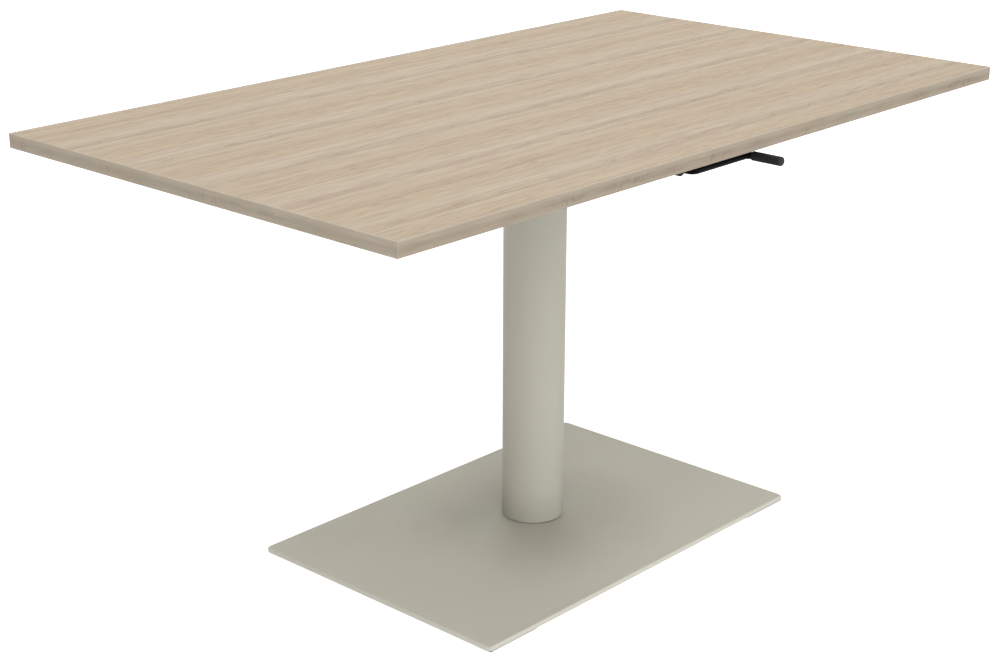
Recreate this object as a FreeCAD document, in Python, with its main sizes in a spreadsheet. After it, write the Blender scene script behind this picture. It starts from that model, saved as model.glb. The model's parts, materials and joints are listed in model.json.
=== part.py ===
import FreeCAD, Part
import math
import os
import re
import Sketcher
from FreeCAD import Rotation, Vector

# Pedestal table with a telescoping column, raised by a lockable gas spring.
# The origin lies on the floor, on the column's axis. +Z is up, +X runs along the
# table's long edge, and the release lever is on the front, towards -Y.

doc = FreeCAD.newDocument("PedestalTable")

# ---------------------------------------------------------------- driving sizes, millimetres
SIZES = (
    ("table_height", 735, "floor to the table's top face with the column right down"),
    ("travel", 400, "how far the column rises"),
    ("top_length", 1400, "tabletop along X"),
    ("top_width", 800, "tabletop along Y"),
    ("top_thickness", 22, "board thickness"),
    ("band_thickness", 2, "edge band"),
    ("band_edge", 0.6, "rounding of the edge band's long edges"),
    ("base_length", 750, "foot plate along X"),
    ("base_width", 500, "foot plate along Y"),
    ("base_corner", 8, "corner radius of the foot plate in plan"),
    ("rim_height", 6, "height of the foot plate's rim"),
    ("rim_edge", 1.4, "rounding of the cover's top edge"),
    ("cover_wall", 2, "sheet thickness of the pressed cover"),
    ("cover_fit", 0.5, "gap between the base plate's edge and the cover's skirt"),
    ("crown_border", 13, "flat border round the crown"),
    ("crown_corner", 110, "corner radius of the crown's outline"),
    ("crown_rise", 18.9, "height of the crown over the rim at its apex"),
    ("crown_power", 1.3, "exponent of the crown's slope"),
    ("glide_thickness", 3, "glide strip under the foot plate"),
    ("glide_length", 100, "glide strip along X"),
    ("glide_width", 25, "glide strip along Y"),
    ("glide_inset", 3, "glide strip from the long edge"),
    ("glide_end_inset", 5, "glide strip from the short edge"),
    ("ballast_length", 460, "lower ballast plate along X"),
    ("ballast_width", 300, "lower ballast plate along Y"),
    ("ballast_thickness", 5, "each ballast plate"),
    ("ballast_step", 80, "how much each end of the upper plate stands back in X"),
    ("ballast_step_side", 50, "how much each side of the upper plate stands back in Y"),
    ("ballast_corner", 30, "corner radius of the ballast plates"),
    ("ballast_screw_x", 115, "ballast screws from the axis along X"),
    ("ballast_screw_y", 72, "ballast screws from the axis along Y"),
    ("ballast_screw_radius", 3, "ballast screw shank"),
    ("column_diameter", 102, "outer column tube"),
    ("column_wall", 3, "outer column wall"),
    ("column_seat_gap", 1, "gap between the crown and the column's lower end"),
    ("boss_inset", 5, "boss radius below the column's bore radius"),
    ("foot_disc_thickness", 12, "disc welded into the column's lower end"),
    ("column_bolt_place", 24, "column bolts from the axis along X and along Y"),
    ("column_bolt_radius", 4, "column bolt shank"),
    ("column_bolt_grip", 10, "column bolt's length in the foot disc"),
    ("hole_play", 0.3, "radial play of screws and bolts in their holes"),
    ("guide_wall", 3.5, "radial room between the two column tubes"),
    ("guide_fit", 0.05, "radial running clearance of guides and bearings"),
    ("press_gap", 0.1, "radial gap of pieces that are pressed or welded in"),
    ("upper_bush_length", 60, "guide bush in the top of the outer column"),
    ("upper_bush_flange", 5, "its flange on the column's end"),
    ("lower_bush_length", 50, "guide bush on the foot of the inner column"),
    ("lower_bush_lip", 3, "its lip under the tube's end"),
    ("bush_lead", 1, "lead-in chamfer of the lower bush"),
    ("bush_chamfer", 1.5, "chamfer of the upper bush's flange"),
    ("stop_margin", 16, "room left between the two bushes at full height"),
    ("inner_wall", 2.5, "inner column wall"),
    ("neck", 32, "outer column's end below the head plate, column right down"),
    ("key_width", 10, "anti-rotation key on the inner column"),
    ("key_height", 2.6, "how far the key stands proud of the inner column"),
    ("key_seat", 0.01, "key's flat foot over the crest of the tube"),
    ("spring_radius", 14, "gas spring cylinder"),
    ("spring_wall", 1.5, "gas spring cylinder wall"),
    ("spring_spare", 100, "cylinder length beyond its stroke"),
    ("spring_rod_show", 20, "rod showing above the cylinder, column right down"),
    ("spring_guide", 25, "rod guide in the cylinder's upper end"),
    ("spring_floor", 10, "cylinder's closed lower end"),
    ("piston_length", 15, "gas spring piston"),
    ("rod_radius", 5, "piston rod"),
    ("stud_radius", 4, "stud on the cylinder's lower end"),
    ("stud_length", 18, "its length"),
    ("stand_radius", 18, "gas spring stand"),
    ("stand_flange", 28, "flange radius of the stand"),
    ("stand_flange_thickness", 6, "flange of the stand"),
    ("stand_shoulder", 10, "height of the cone over the flange"),
    ("stand_socket", 12, "depth of the stand's socket"),
    ("pin_radius", 2, "release pin in the piston rod"),
    ("pin_show", 5.6, "release pin above the rod's end"),
    ("pin_length", 22, "release pin"),
    ("nut_height", 5, "lock nut on the piston rod"),
    ("nut_across", 17, "lock nut across flats"),
    ("bridge_thickness", 6, "bridge disc that carries the piston rod"),
    ("head_thickness", 5, "head plate"),
    ("head_half_length", 150, "head plate from the axis along X"),
    ("head_corner", 12, "corner radius of the head plate"),
    ("head_screw_inset", 20, "head plate's screws from its edges"),
    ("rail_spread", 300, "distance between the two rails' upright legs"),
    ("frame_end_inset", 150, "end bars' upright legs behind the board's short edges"),
    ("frame_side_inset", 100, "end bars' ends behind the board's long edges"),
    ("rail_height", 28, "upright leg of the steel angles"),
    ("rail_flange", 40, "flat leg of the steel angles"),
    ("rail_thickness", 3, "wall of the steel angles"),
    ("screw_radius", 2.25, "wood screw shank"),
    ("screw_head_radius", 4.5, "wood screw head"),
    ("screw_head_height", 2.8, "wood screw head"),
    ("screw_bite", 13, "wood screw's length in the board"),
    ("lever_drop", 13, "release lever's axis below the board"),
    ("lever_place", 90, "release lever's axis from the column's axis"),
    ("lever_radius", 5.5, "release lever rod"),
    ("lever_bend", 9, "bend radius of the lever's centreline"),
    ("lever_setback", 24, "lever's cross run behind the board's front edge"),
    ("grip_place", 41.6, "grip's axis from the column's axis"),
    ("grip_overhang", 37, "grip's end beyond the board's front edge"),
    ("grip_radius", 7, "grip"),
    ("grip_wall_end", 4, "grip's closed end"),
    ("clip_setback", 21, "front of the lever bearing clip behind the cross run"),
    ("clip_length", 14, "lever bearing clip along the rod"),
    ("clip_radius", 11, "round underside of the clip"),
    ("clip_flange", 24, "half width of the clip's flange"),
    ("clip_flange_thickness", 3, "clip's flange"),
    ("clip_screw_place", 18, "clip screws from the rod's axis"),
    ("collar_radius", 8, "stop collar on the lever rod"),
    ("collar_length", 6, "stop collar"),
    ("small_chamfer", 0.6, "chamfers of the stop collar"),
    ("lever_bush_radius", 7, "lever bush in the front rail"),
    ("lever_bush_flange", 2, "thickness of the lever bush's flange"),
    ("lever_bush_rim", 2.5, "how far that flange stands proud of the bush"),
    ("lever_bush_tail", 3, "lever bush's end behind the rail"),
    ("finger_hub", 7, "hub of the release finger"),
    ("finger_width", 10, "release finger across Y"),
    ("finger_thickness", 6, "release finger"),
    ("finger_pin_radius", 1.5, "spring pin through the finger's hub"),
    ("contact_inset", 6, "finger's contact inside the inner column's bore"),
    ("contact_gap", 0.3, "rest gap between the pieces of the release"),
    ("rocker_width", 12, "release rocker across Y"),
    ("rocker_nose", 4, "radius of the rocker's nose"),
    ("rocker_hub", 7, "radius of the rocker's hub"),
    ("rocker_boss", 4, "radius of the rocker's pressing boss"),
    ("boss_drop", 2, "boss below the line from nose to pivot"),
    ("rocker_pin_radius", 3, "rocker pivot pin"),
    ("rocker_pin_head", 1.5, "its heads, both in height and beyond the shank"),
    ("pivot_inset", 12, "rocker pivot inside the inner column's bore"),
    ("pivot_drop", 3, "rocker pivot below the lever's axis"),
    ("bracket_wall", 3, "rocker bracket"),
    ("bracket_half_length", 8, "rocker bracket along X, from the pivot"),
    ("window_half_width", 9, "window for the finger in the inner column"),
    ("window_depth", 24, "window's depth from the inner column's upper end"),
)

# ------------------------------------------------- levels and places worked out from the sizes
PLACES = (
    ("underside", "table_height - top_thickness"),
    ("half_length", "top_length / 2"),
    ("half_width", "top_width / 2"),
    ("rim_top", "glide_thickness + rim_height"),
    ("plate_top", "rim_top - cover_wall"),
    ("crown_half_length", "base_length / 2 - crown_border"),
    ("crown_half_width", "base_width / 2 - crown_border"),
    ("column_radius", "column_diameter / 2"),
    ("column_bore", "column_radius - column_wall"),
    ("crown_at_column", "rim_top + crown_rise * (1 - pow(column_radius / crown_half_length; crown_power))"),
    ("column_foot", "crown_at_column + column_seat_gap"),
    ("boss_radius", "column_bore - boss_inset"),
    ("foot_disc_top", "column_foot + foot_disc_thickness"),
    ("inner_radius", "column_bore - guide_wall"),
    ("inner_bore", "inner_radius - inner_wall"),
    ("head_under", "underside - head_thickness"),
    ("column_top", "head_under - neck"),
    ("lever_level", "underside - lever_drop"),
    ("inner_foot", "column_top - upper_bush_length - stop_margin - travel - lower_bush_length"),
    ("finger_under", "lever_level - lever_radius"),
    ("contact_place", "contact_inset - inner_bore"),
    ("pivot_place", "inner_bore - pivot_inset"),
    ("pivot_level", "lever_level - pivot_drop"),
    ("nose_level", "finger_under - contact_gap - rocker_nose"),
    ("boss_level", "nose_level + (pivot_level - nose_level) * contact_place"
                   " / (contact_place - pivot_place) - boss_drop"),
    ("pin_top", "boss_level - rocker_boss - contact_gap"),
    ("rod_top", "pin_top - pin_show"),
    ("nut_foot", "rod_top - 0.5 - nut_height"),
    ("bridge_foot", "nut_foot - bridge_thickness"),
    ("spring_top", "bridge_foot - spring_rod_show"),
    ("spring_foot", "spring_top - travel - spring_spare"),
    ("piston_foot", "spring_foot + spring_floor + 4"),
    ("rail_inner", "rail_spread / 2"),
    ("rail_outer", "rail_inner + rail_thickness"),
    ("bar_inner", "half_length - frame_end_inset"),
    ("bar_reach", "half_width - frame_side_inset"),
    ("flange_under", "underside - rail_thickness"),
    ("run_place", "lever_setback - half_width"),
    ("grip_end", "0 - half_width - grip_overhang"),
    ("clip_front", "run_place + clip_setback"),
    ("clip_back", "clip_front + clip_length"),
    ("lever_bore", "lever_radius + guide_fit"),
)

sizes = doc.addObject("Spreadsheet::Sheet", "Sizes")
places = doc.addObject("Spreadsheet::Sheet", "Places")
for row, (alias, number, meaning) in enumerate(SIZES, 1):
    sizes.set(f"A{row}", alias)
    sizes.set(f"B{row}", str(number))
    sizes.set(f"C{row}", meaning)
    sizes.setAlias(f"B{row}", alias)

SHEET_OF = {alias: "Sizes" for alias, _, _ in SIZES}
SHEET_OF.update({alias: "Places" for alias, _ in PLACES})
WORD = re.compile(r"\b[a-z]\w*_\w+\b|\btravel\b|\bneck\b|\bunderside\b")


def formula(text):
    """Text of a FreeCAD expression, with each size's sheet put before its name."""
    return WORD.sub(lambda found: f"{SHEET_OF[found[0]]}.{found[0]}", str(text))


for row, (alias, text) in enumerate(PLACES, 1):
    places.set(f"A{row}", alias)
    places.set(f"B{row}", "=" + formula(text))
    places.setAlias(f"B{row}", alias)
doc.recompute()


def value(text):
    """Number of millimetres that an expression stands for."""
    answer = sizes.evalExpression(formula(text))
    return float(getattr(answer, "Value", answer))


# ---------------------------------------------------------------- helpers for bodies and sketches
NODES = []
CUTS = []
SAME_PLACE = 0.01


def new_body(label):
    """A sub-part's own body."""
    body = doc.addObject("PartDesign::Body", label)
    body.Label = label
    NODES.append(body)
    return body


def sketch_on(body, plane, offset="0", name="Outline"):
    """Empty sketch on one of the body's origin planes, moved along the plane's normal."""
    sketch = body.newObject("Sketcher::SketchObject", name)
    own_plane = next(item for item in body.Origin.OriginFeatures if item.Role == plane)
    sketch.AttachmentSupport = [(own_plane, "")]
    sketch.MapMode = "FlatFace"
    sketch.setExpression(".AttachmentOffset.Base.z", formula(offset))
    return sketch


def hold(sketch, kind, text, *where):
    """Constraint of one kind, bound to an expression."""
    index = sketch.addConstraint(Sketcher.Constraint(kind, *where, value(text)))
    sketch.setExpression(f"Constraints[{index}]", formula(text))


def pin(sketch, edge, end, across, up):
    """Hold one point of an edge at a place measured from the sketch's origin."""
    hold(sketch, "DistanceX", across, -1, 1, edge, end)
    hold(sketch, "DistanceY", up, -1, 1, edge, end)


def point(across, up):
    return Vector(value(across), value(up), 0)


def polygon(sketch, corners):
    """Closed outline of straight edges through the given corners."""
    first = sketch.GeometryCount
    count = len(corners)
    spots = [point(*corner) for corner in corners]
    for index in range(count):
        sketch.addGeometry(Part.LineSegment(spots[index], spots[(index + 1) % count]))
    for index in range(count):
        following = first + (index + 1) % count
        sketch.addConstraint(Sketcher.Constraint("Coincident", first + index, 2, following, 1))
        pin(sketch, first + index, 1, *corners[index])


def rectangle(sketch, low_x, high_x, low_y, high_y):
    polygon(sketch, [(low_x, low_y), (high_x, low_y), (high_x, high_y), (low_x, high_y)])


def circle(sketch, across, up, radius):
    edge = sketch.addGeometry(Part.Circle(point(across, up), Vector(0, 0, 1), value(radius)))
    pin(sketch, edge, 3, across, up)
    hold(sketch, "Radius", radius, edge)


def ring(sketch, across, up, outer, inner):
    circle(sketch, across, up, outer)
    circle(sketch, across, up, inner)


def rounded_rectangle(sketch, half_x, half_y, radius):
    """Rectangle about the sketch's origin with an arc at each corner."""
    flat_x = f"({half_x}) - ({radius})"
    flat_y = f"({half_y}) - ({radius})"
    turns = ((1, 1, 0), (-1, 1, 90), (-1, -1, 180), (1, -1, 270))
    for side_x, side_y, start in turns:
        centre = point(f"{side_x} * ({flat_x})", f"{side_y} * ({flat_y})")
        whole = Part.Circle(centre, Vector(0, 0, 1), value(radius))
        sketch.addGeometry(Part.ArcOfCircle(whole, math.radians(start), math.radians(start + 90)))
    for index in range(4):
        leaving = sketch.getPoint(index, 2)
        arriving = sketch.getPoint((index + 1) % 4, 1)
        sketch.addGeometry(Part.LineSegment(leaving, arriving))
    for index, (side_x, side_y, _) in enumerate(turns):
        pin(sketch, index, 3, f"{side_x} * ({flat_x})", f"{side_y} * ({flat_y})")
        hold(sketch, "Radius", radius, index)
    for index in range(4):
        line = 4 + index
        sketch.addConstraint(Sketcher.Constraint("Tangent", index, 2, line, 1))
        sketch.addConstraint(Sketcher.Constraint("Tangent", line, 2, (index + 1) % 4, 1))


def pad(body, sketch, length, name="Pad"):
    feature = body.newObject("PartDesign::Pad", name)
    feature.Profile = sketch
    feature.setExpression("Length", formula(length))
    return feature


def pocket(body, sketch, name="Pocket"):
    """Cut right through the body, both ways from the sketch."""
    feature = body.newObject("PartDesign::Pocket", name)
    feature.Profile = sketch
    feature.SideType = "Symmetric"
    feature.Type = "ThroughAll"
    CUTS.append(feature)
    return feature


def blind(body, sketch, length, upwards, name="Recess"):
    """Cut of a given depth, from the sketch upwards or downwards."""
    feature = body.newObject("PartDesign::Pocket", name)
    feature.Profile = sketch
    feature.setExpression("Length", formula(length))
    feature.Reversed = upwards
    CUTS.append(feature)
    return feature


def turned(body, corners, name="Turned"):
    """Solid of revolution about the body's Z axis; corners are (radius, height)."""
    sketch = sketch_on(body, "XZ_Plane", name="Profile")
    polygon(sketch, corners)
    feature = body.newObject("PartDesign::Revolution", name)
    feature.Profile = sketch
    feature.ReferenceAxis = (sketch, ["V_Axis"])
    feature.Angle = 360
    return feature


def ease(body, size, wanted, kind="Fillet"):
    """Fillet or chamfer of the tip's edges that the test wanted picks."""
    doc.recompute()
    base = body.Tip
    names = [f"Edge{number}" for number, edge in enumerate(base.Shape.Edges, 1) if wanted(edge)]
    if not names:
        raise RuntimeError(f"{body.Label}: no edge to ease")
    feature = body.newObject(f"PartDesign::{kind}", kind)
    feature.Base = (base, names)
    feature.setExpression("Radius" if kind == "Fillet" else "Size", formula(size))
    return feature


def along(axis):
    """Test for straight edges that run along one axis."""
    def test(edge):
        ends = [vertex.Point for vertex in edge.Vertexes]
        if len(ends) != 2 or edge.Curve.TypeId != "Part::GeomLine":
            return False
        run = (ends[1] - ends[0]).normalize()
        return abs(run.dot(axis)) > 0.999
    return test


def near(first, second):
    """Whether two places count as the same."""
    return abs(first - second) < SAME_PLACE


def level(height):
    """Test for edges that lie in one horizontal plane."""
    def test(edge):
        box = edge.BoundBox
        return near(box.ZMin, value(height)) and near(box.ZMax, value(height))
    return test


X_AXIS, Y_AXIS, Z_AXIS = Vector(1, 0, 0), Vector(0, 1, 0), Vector(0, 0, 1)
LYING = Rotation(X_AXIS, -90)        # a piece turned about Z then lies along +Y


def stand(body, x="0", y="0", z="0", turn=None):
    """Placement of a piece that is modelled about its own axis."""
    if turn:
        body.Placement.Rotation = turn
    for letter, text in (("x", x), ("y", y), ("z", z)):
        body.setExpression(f".Placement.Base.{letter}", formula(text))


def block(label, low_x, high_x, low_y, high_y, low_z, high_z):
    """Rectangular bar or plate."""
    body = new_body(label)
    sketch = sketch_on(body, "XY_Plane", low_z)
    rectangle(sketch, low_x, high_x, low_y, high_y)
    pad(body, sketch, f"({high_z}) - ({low_z})")
    return body


def holes(body, spots, radius, height, name="Holes"):
    """Round holes right through a plate at the given spots."""
    sketch = sketch_on(body, "XY_Plane", height, name + "Sketch")
    for across, up in spots:
        circle(sketch, across, up, radius)
    pocket(body, sketch, name)


def screws(label, groups):
    """Pan-head wood screws that stand upwards; each group has its spots and its bearing level."""
    body = new_body(label)
    for number, (spots, bearing) in enumerate(groups, 1):
        head = sketch_on(body, "XY_Plane", f"{bearing} - screw_head_height", f"HeadOutline{number}")
        shank = sketch_on(body, "XY_Plane", bearing, f"ShankOutline{number}")
        for across, up in spots:
            circle(head, across, up, "screw_head_radius")
            circle(shank, across, up, "screw_radius")
        pad(body, head, "screw_head_height", f"Heads{number}")
        pad(body, shank, f"underside - ({bearing}) + screw_bite", f"Shanks{number}")
    return body


def four_ways(across, up):
    return [(f"{i} * ({across})", f"{j} * ({up})") for i in (1, -1) for j in (1, -1)]


COLUMN_BOLTS = four_ways("column_bolt_place", "column_bolt_place")
BALLAST_SCREWS = four_ways("ballast_screw_x", "ballast_screw_y")
RAIL_SCREWS = four_ways("0.9 * bar_inner", "rail_outer + rail_flange / 2")
RAIL_SCREWS += four_ways("0.35 * bar_inner", "rail_outer + rail_flange / 2")
BAR_SCREWS = four_ways("bar_inner + rail_thickness + rail_flange / 2", "0.9 * bar_reach")
BAR_SCREWS += [(f"{i} * (bar_inner + rail_thickness + rail_flange / 2)", "0") for i in (1, -1)]
HEAD_SCREWS = four_ways("head_half_length - head_screw_inset", "rail_inner - head_screw_inset")
CLIP_SCREWS = [(f"0 - lever_place + {i} * clip_screw_place", "clip_front + clip_length / 2")
               for i in (1, -1)]


# ---------------------------------------------------------------- foot
def base_plate():
    """Flat steel plate inside the pressed cover, countersunk for the bolts."""
    body = new_body("base_plate")
    sketch = sketch_on(body, "XY_Plane", "glide_thickness")
    rounded_rectangle(sketch, "base_length / 2 - cover_wall - cover_fit",
                      "base_width / 2 - cover_wall - cover_fit",
                      "base_corner - cover_wall - cover_fit")
    pad(body, sketch, "plate_top - glide_thickness")
    for spots, shank, name in ((COLUMN_BOLTS, "column_bolt_radius", "ColumnBolt"),
                               (BALLAST_SCREWS, "ballast_screw_radius", "BallastScrew")):
        mouth = sketch_on(body, "XY_Plane", "glide_thickness", name + "Mouth")
        for across, up in spots:
            circle(mouth, across, up, f"{shank} + hole_play + plate_top - glide_thickness")
        sink = blind(body, mouth, "plate_top - glide_thickness", True, name + "Sink")
        sink.TaperAngle = -45


def countersunk(label, spots, shank, end):
    """Countersunk screws that stand upwards from the base plate's underside."""
    body = new_body(label)
    head = sketch_on(body, "XY_Plane", "glide_thickness", "HeadOutline")
    body_line = sketch_on(body, "XY_Plane", "plate_top", "ShankOutline")
    for across, up in spots:
        circle(head, across, up, f"{shank} + plate_top - glide_thickness")
        circle(body_line, across, up, shank)
    cone = pad(body, head, "plate_top - glide_thickness", "Heads")
    cone.TaperAngle = -45
    pad(body, body_line, f"({end}) - plate_top", "Shanks")


def base_cover():
    """Pressed steel cover: flat border, then a crown that rises to the column."""
    body = new_body("base_cover")
    rim = sketch_on(body, "XY_Plane", "glide_thickness", "Rim")
    rounded_rectangle(rim, "base_length / 2", "base_width / 2", "base_corner")
    pad(body, rim, "rim_height", "RimPad")
    ease(body, "rim_edge", level("rim_top"))
    crown_loft(body, "0", "PartDesign::AdditiveLoft")
    pan = sketch_on(body, "XY_Plane", "glide_thickness", "Pan")
    rounded_rectangle(pan, "base_length / 2 - cover_wall", "base_width / 2 - cover_wall",
                      "base_corner - cover_wall")
    blind(body, pan, "rim_height - cover_wall", True, "PanRecess")
    crown_loft(body, "cover_wall", "PartDesign::SubtractiveLoft")
    hole = sketch_on(body, "XY_Plane", "rim_top", "BossHole")
    circle(hole, "0", "0", "boss_radius + 1")
    pocket(body, hole, "BossOpening")


def crown_loft(body, wall, kind):
    """Loft through copies of the crown's outline that shrink as they rise."""
    shares = (1, 0.86, 0.7, 0.52, 0.34, 0.14)
    sections = []
    for number, share in enumerate(shares):
        height = f"rim_top - ({wall}) + crown_rise * (1 - pow({share}; crown_power))"
        section = sketch_on(body, "XY_Plane", height, f"Section{number}")
        rounded_rectangle(section, f"{share} * (crown_half_length - 2 * ({wall}))",
                          f"{share} * (crown_half_width - 2 * ({wall}))",
                          f"{share} * (crown_corner - 2 * ({wall}))")
        sections.append(section)
    loft = body.newObject(kind, "Crown" if wall == "0" else "CrownHollow")
    loft.Profile = sections[0]
    loft.Sections = sections[1:]
    loft.Ruled = False
    if wall != "0":
        CUTS.append(loft)


def ballast(label, half_x, half_y, low_z):
    body = new_body(label)
    sketch = sketch_on(body, "XY_Plane", low_z)
    rounded_rectangle(sketch, half_x, half_y, "ballast_corner")
    circle(sketch, "0", "0", "boss_radius + 1")
    pad(body, sketch, "ballast_thickness")
    holes(body, BALLAST_SCREWS, "ballast_screw_radius + hole_play", low_z)


def base_boss():
    """Turned steel boss between the base plate and the column."""
    body = new_body("base_boss")
    sketch = sketch_on(body, "XY_Plane", "plate_top")
    ring(sketch, "0", "0", "boss_radius", "stand_radius / 2")
    pad(body, sketch, "column_foot - plate_top")
    holes(body, COLUMN_BOLTS, "column_bolt_radius + hole_play", "plate_top")


def foot_disc():
    body = new_body("column_foot_disc")
    sketch = sketch_on(body, "XY_Plane", "column_foot")
    ring(sketch, "0", "0", "column_bore - press_gap", "stand_radius / 2 - 1")
    pad(body, sketch, "foot_disc_thickness")
    holes(body, COLUMN_BOLTS, "column_bolt_radius + press_gap", "column_foot")


def glides():
    """Glide strips, one near each corner."""
    for side_x, name_x in ((-1, "left"), (1, "right")):
        for side_y, name_y in ((-1, "front"), (1, "rear")):
            end = f"{side_x} * (base_length / 2 - glide_end_inset)"
            start = f"{side_x} * (base_length / 2 - glide_end_inset - glide_length)"
            edge = f"{side_y} * (base_width / 2 - glide_inset)"
            inner = f"{side_y} * (base_width / 2 - glide_inset - glide_width)"
            body = block(f"glide_{name_y}_{name_x}", start, end, inner, edge, "0", "glide_thickness")
            ease(body, "glide_thickness / 2", along(Z_AXIS))


# ---------------------------------------------------------------- column
def outer_column():
    body = new_body("outer_column")
    sketch = sketch_on(body, "XY_Plane", "column_foot")
    ring(sketch, "0", "0", "column_radius", "column_bore")
    pad(body, sketch, "column_top - column_foot")


def upper_guide_bush():
    """Plastic liner with a flange, slotted for the key."""
    body = new_body("upper_guide_bush")
    bore = "inner_radius + guide_fit"
    turned(body, [(bore, "column_top - upper_bush_length"),
                  ("column_bore - press_gap", "column_top - upper_bush_length"),
                  ("column_bore - press_gap", "column_top"),
                  ("column_radius", "column_top"),
                  ("column_radius", "column_top + upper_bush_flange - bush_chamfer"),
                  ("column_radius - bush_chamfer", "column_top + upper_bush_flange"),
                  (bore, "column_top + upper_bush_flange")])
    slot = sketch_on(body, "XY_Plane", "column_top", "KeySlot")
    rectangle(slot, "0 - key_width / 2 - guide_fit", "key_width / 2 + guide_fit",
              "inner_radius - 1", "inner_radius + key_height + 0.3")
    pocket(body, slot, "Slot")


def inner_column():
    body = new_body("inner_column")
    sketch = sketch_on(body, "XY_Plane", "inner_foot")
    ring(sketch, "0", "0", "inner_radius", "inner_bore")
    pad(body, sketch, "head_under - inner_foot")
    window = sketch_on(body, "XY_Plane", "head_under", "Window")
    rectangle(window, "0 - inner_radius - 5", "0 - inner_bore / 2",
              "0 - window_half_width", "window_half_width")
    blind(body, window, "window_depth", False, "WindowCut")


def lower_guide_bush():
    """Plastic foot on the inner column that slides in the outer column."""
    body = new_body("lower_guide_bush")
    turned(body, [("inner_bore", "inner_foot - lower_bush_lip"),
                  ("column_bore - guide_fit - bush_lead", "inner_foot - lower_bush_lip"),
                  ("column_bore - guide_fit", "inner_foot - lower_bush_lip + bush_lead"),
                  ("column_bore - guide_fit", "inner_foot + lower_bush_length"),
                  ("inner_radius + press_gap", "inner_foot + lower_bush_length"),
                  ("inner_radius + press_gap", "inner_foot"),
                  ("inner_bore", "inner_foot")])


def guide_key():
    body = block("guide_key", "0 - key_width / 2", "key_width / 2",
                 "inner_radius + key_seat", "inner_radius + key_height",
                 "inner_foot + lower_bush_length + 3", "column_top + upper_bush_flange + 4")
    ease(body, "key_width / 4", along(Y_AXIS))


# ---------------------------------------------------------------- gas spring
def gas_spring_stand():
    """Turned stand with a spigot in the foot disc and a socket for the cylinder."""
    body = new_body("gas_spring_stand")
    turned(body, [("stud_radius + press_gap", "column_foot + 1"),
                  ("stand_radius / 2 - 1 - press_gap", "column_foot + 1"),
                  ("stand_radius / 2 - 1 - press_gap", "foot_disc_top"),
                  ("stand_flange", "foot_disc_top"),
                  ("stand_flange", "foot_disc_top + stand_flange_thickness"),
                  ("stand_radius", "foot_disc_top + stand_flange_thickness + stand_shoulder"),
                  ("stand_radius", "spring_foot + stand_socket"),
                  ("spring_radius + press_gap", "spring_foot + stand_socket"),
                  ("spring_radius + press_gap", "spring_foot"),
                  ("stud_radius + press_gap", "spring_foot")])


def gas_cylinder():
    body = new_body("gas_cylinder")
    bore = "spring_radius - spring_wall"
    turned(body, [("0", "spring_foot - stud_length"),
                  ("stud_radius", "spring_foot - stud_length"),
                  ("stud_radius", "spring_foot"),
                  ("spring_radius", "spring_foot"),
                  ("spring_radius", "spring_top - 3"),
                  ("spring_radius - 2", "spring_top"),
                  ("rod_radius + guide_fit", "spring_top"),
                  ("rod_radius + guide_fit", "spring_top - spring_guide"),
                  (bore, "spring_top - spring_guide"),
                  (bore, "spring_foot + spring_floor"),
                  ("0", "spring_foot + spring_floor")])


def gas_piston():
    body = new_body("gas_piston")
    outer = "spring_radius - spring_wall - guide_fit"
    sketch = sketch_on(body, "XY_Plane", "piston_foot")
    ring(sketch, "0", "0", outer, "rod_radius + guide_fit")
    pad(body, sketch, "piston_length")


def piston_rod():
    """Rod with a blind bore in its upper end for the release pin."""
    body = new_body("piston_rod")
    bore = "pin_radius + guide_fit"
    depth = "rod_top + pin_show - pin_length - 5"
    turned(body, [("0", "piston_foot"), ("rod_radius", "piston_foot"),
                  ("rod_radius", "rod_top - 0.8"), ("rod_radius - 0.8", "rod_top"),
                  (bore, "rod_top"), (bore, depth), ("0", depth)])


def release_pin():
    body = new_body("release_pin")
    turned(body, [("0", "pin_top - pin_length"), ("pin_radius", "pin_top - pin_length"),
                  ("pin_radius", "pin_top - 0.7"), ("pin_radius - 0.7", "pin_top"),
                  ("0", "pin_top")])


def head_bridge():
    body = new_body("head_bridge")
    sketch = sketch_on(body, "XY_Plane", "bridge_foot")
    ring(sketch, "0", "0", "inner_bore - press_gap", "rod_radius + press_gap")
    pad(body, sketch, "bridge_thickness")


def rod_lock_nut():
    body = new_body("rod_lock_nut")
    sketch = sketch_on(body, "XY_Plane", "nut_foot")
    reach = "nut_across / 2 / cos(30)"
    polygon(sketch, [(f"{reach} * cos({60 * i})", f"{reach} * sin({60 * i})") for i in range(6)])
    circle(sketch, "0", "0", "rod_radius + press_gap")
    pad(body, sketch, "nut_height")


# ---------------------------------------------------------------- support frame
def head_plate():
    body = new_body("head_plate")
    sketch = sketch_on(body, "XY_Plane", "head_under")
    rounded_rectangle(sketch, "head_half_length", "rail_inner", "head_corner")
    pad(body, sketch, "head_thickness")
    holes(body, HEAD_SCREWS, "screw_radius + hole_play", "head_under")


def support_rail(label, side):
    """Steel angle along X: upright leg beside the head plate, flat leg under the board."""
    body = new_body(label)
    sketch = sketch_on(body, "YZ_Plane", "0 - bar_inner")
    outer = f"{side} * (rail_outer + rail_flange - rail_thickness)"
    polygon(sketch, [(f"{side} * rail_inner", "underside - rail_height"),
                     (f"{side} * rail_outer", "underside - rail_height"),
                     (f"{side} * rail_outer", "flange_under"),
                     (outer, "flange_under"), (outer, "underside"),
                     (f"{side} * rail_inner", "underside")])
    pad(body, sketch, "2 * bar_inner")
    own = [spot for spot in RAIL_SCREWS if spot[1].startswith(f"{side} *")]
    holes(body, own, "screw_radius + hole_play", "flange_under")
    return body


def support_rail_front():
    """The front rail also carries the lever's inner bush."""
    body = support_rail("support_rail_front", -1)
    eye = sketch_on(body, "XZ_Plane", "rail_inner", "BushHole")
    circle(eye, "0 - lever_place", "lever_level", "lever_bush_radius")
    blind(body, eye, "2 * rail_thickness", True, "BushOpening")


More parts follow.
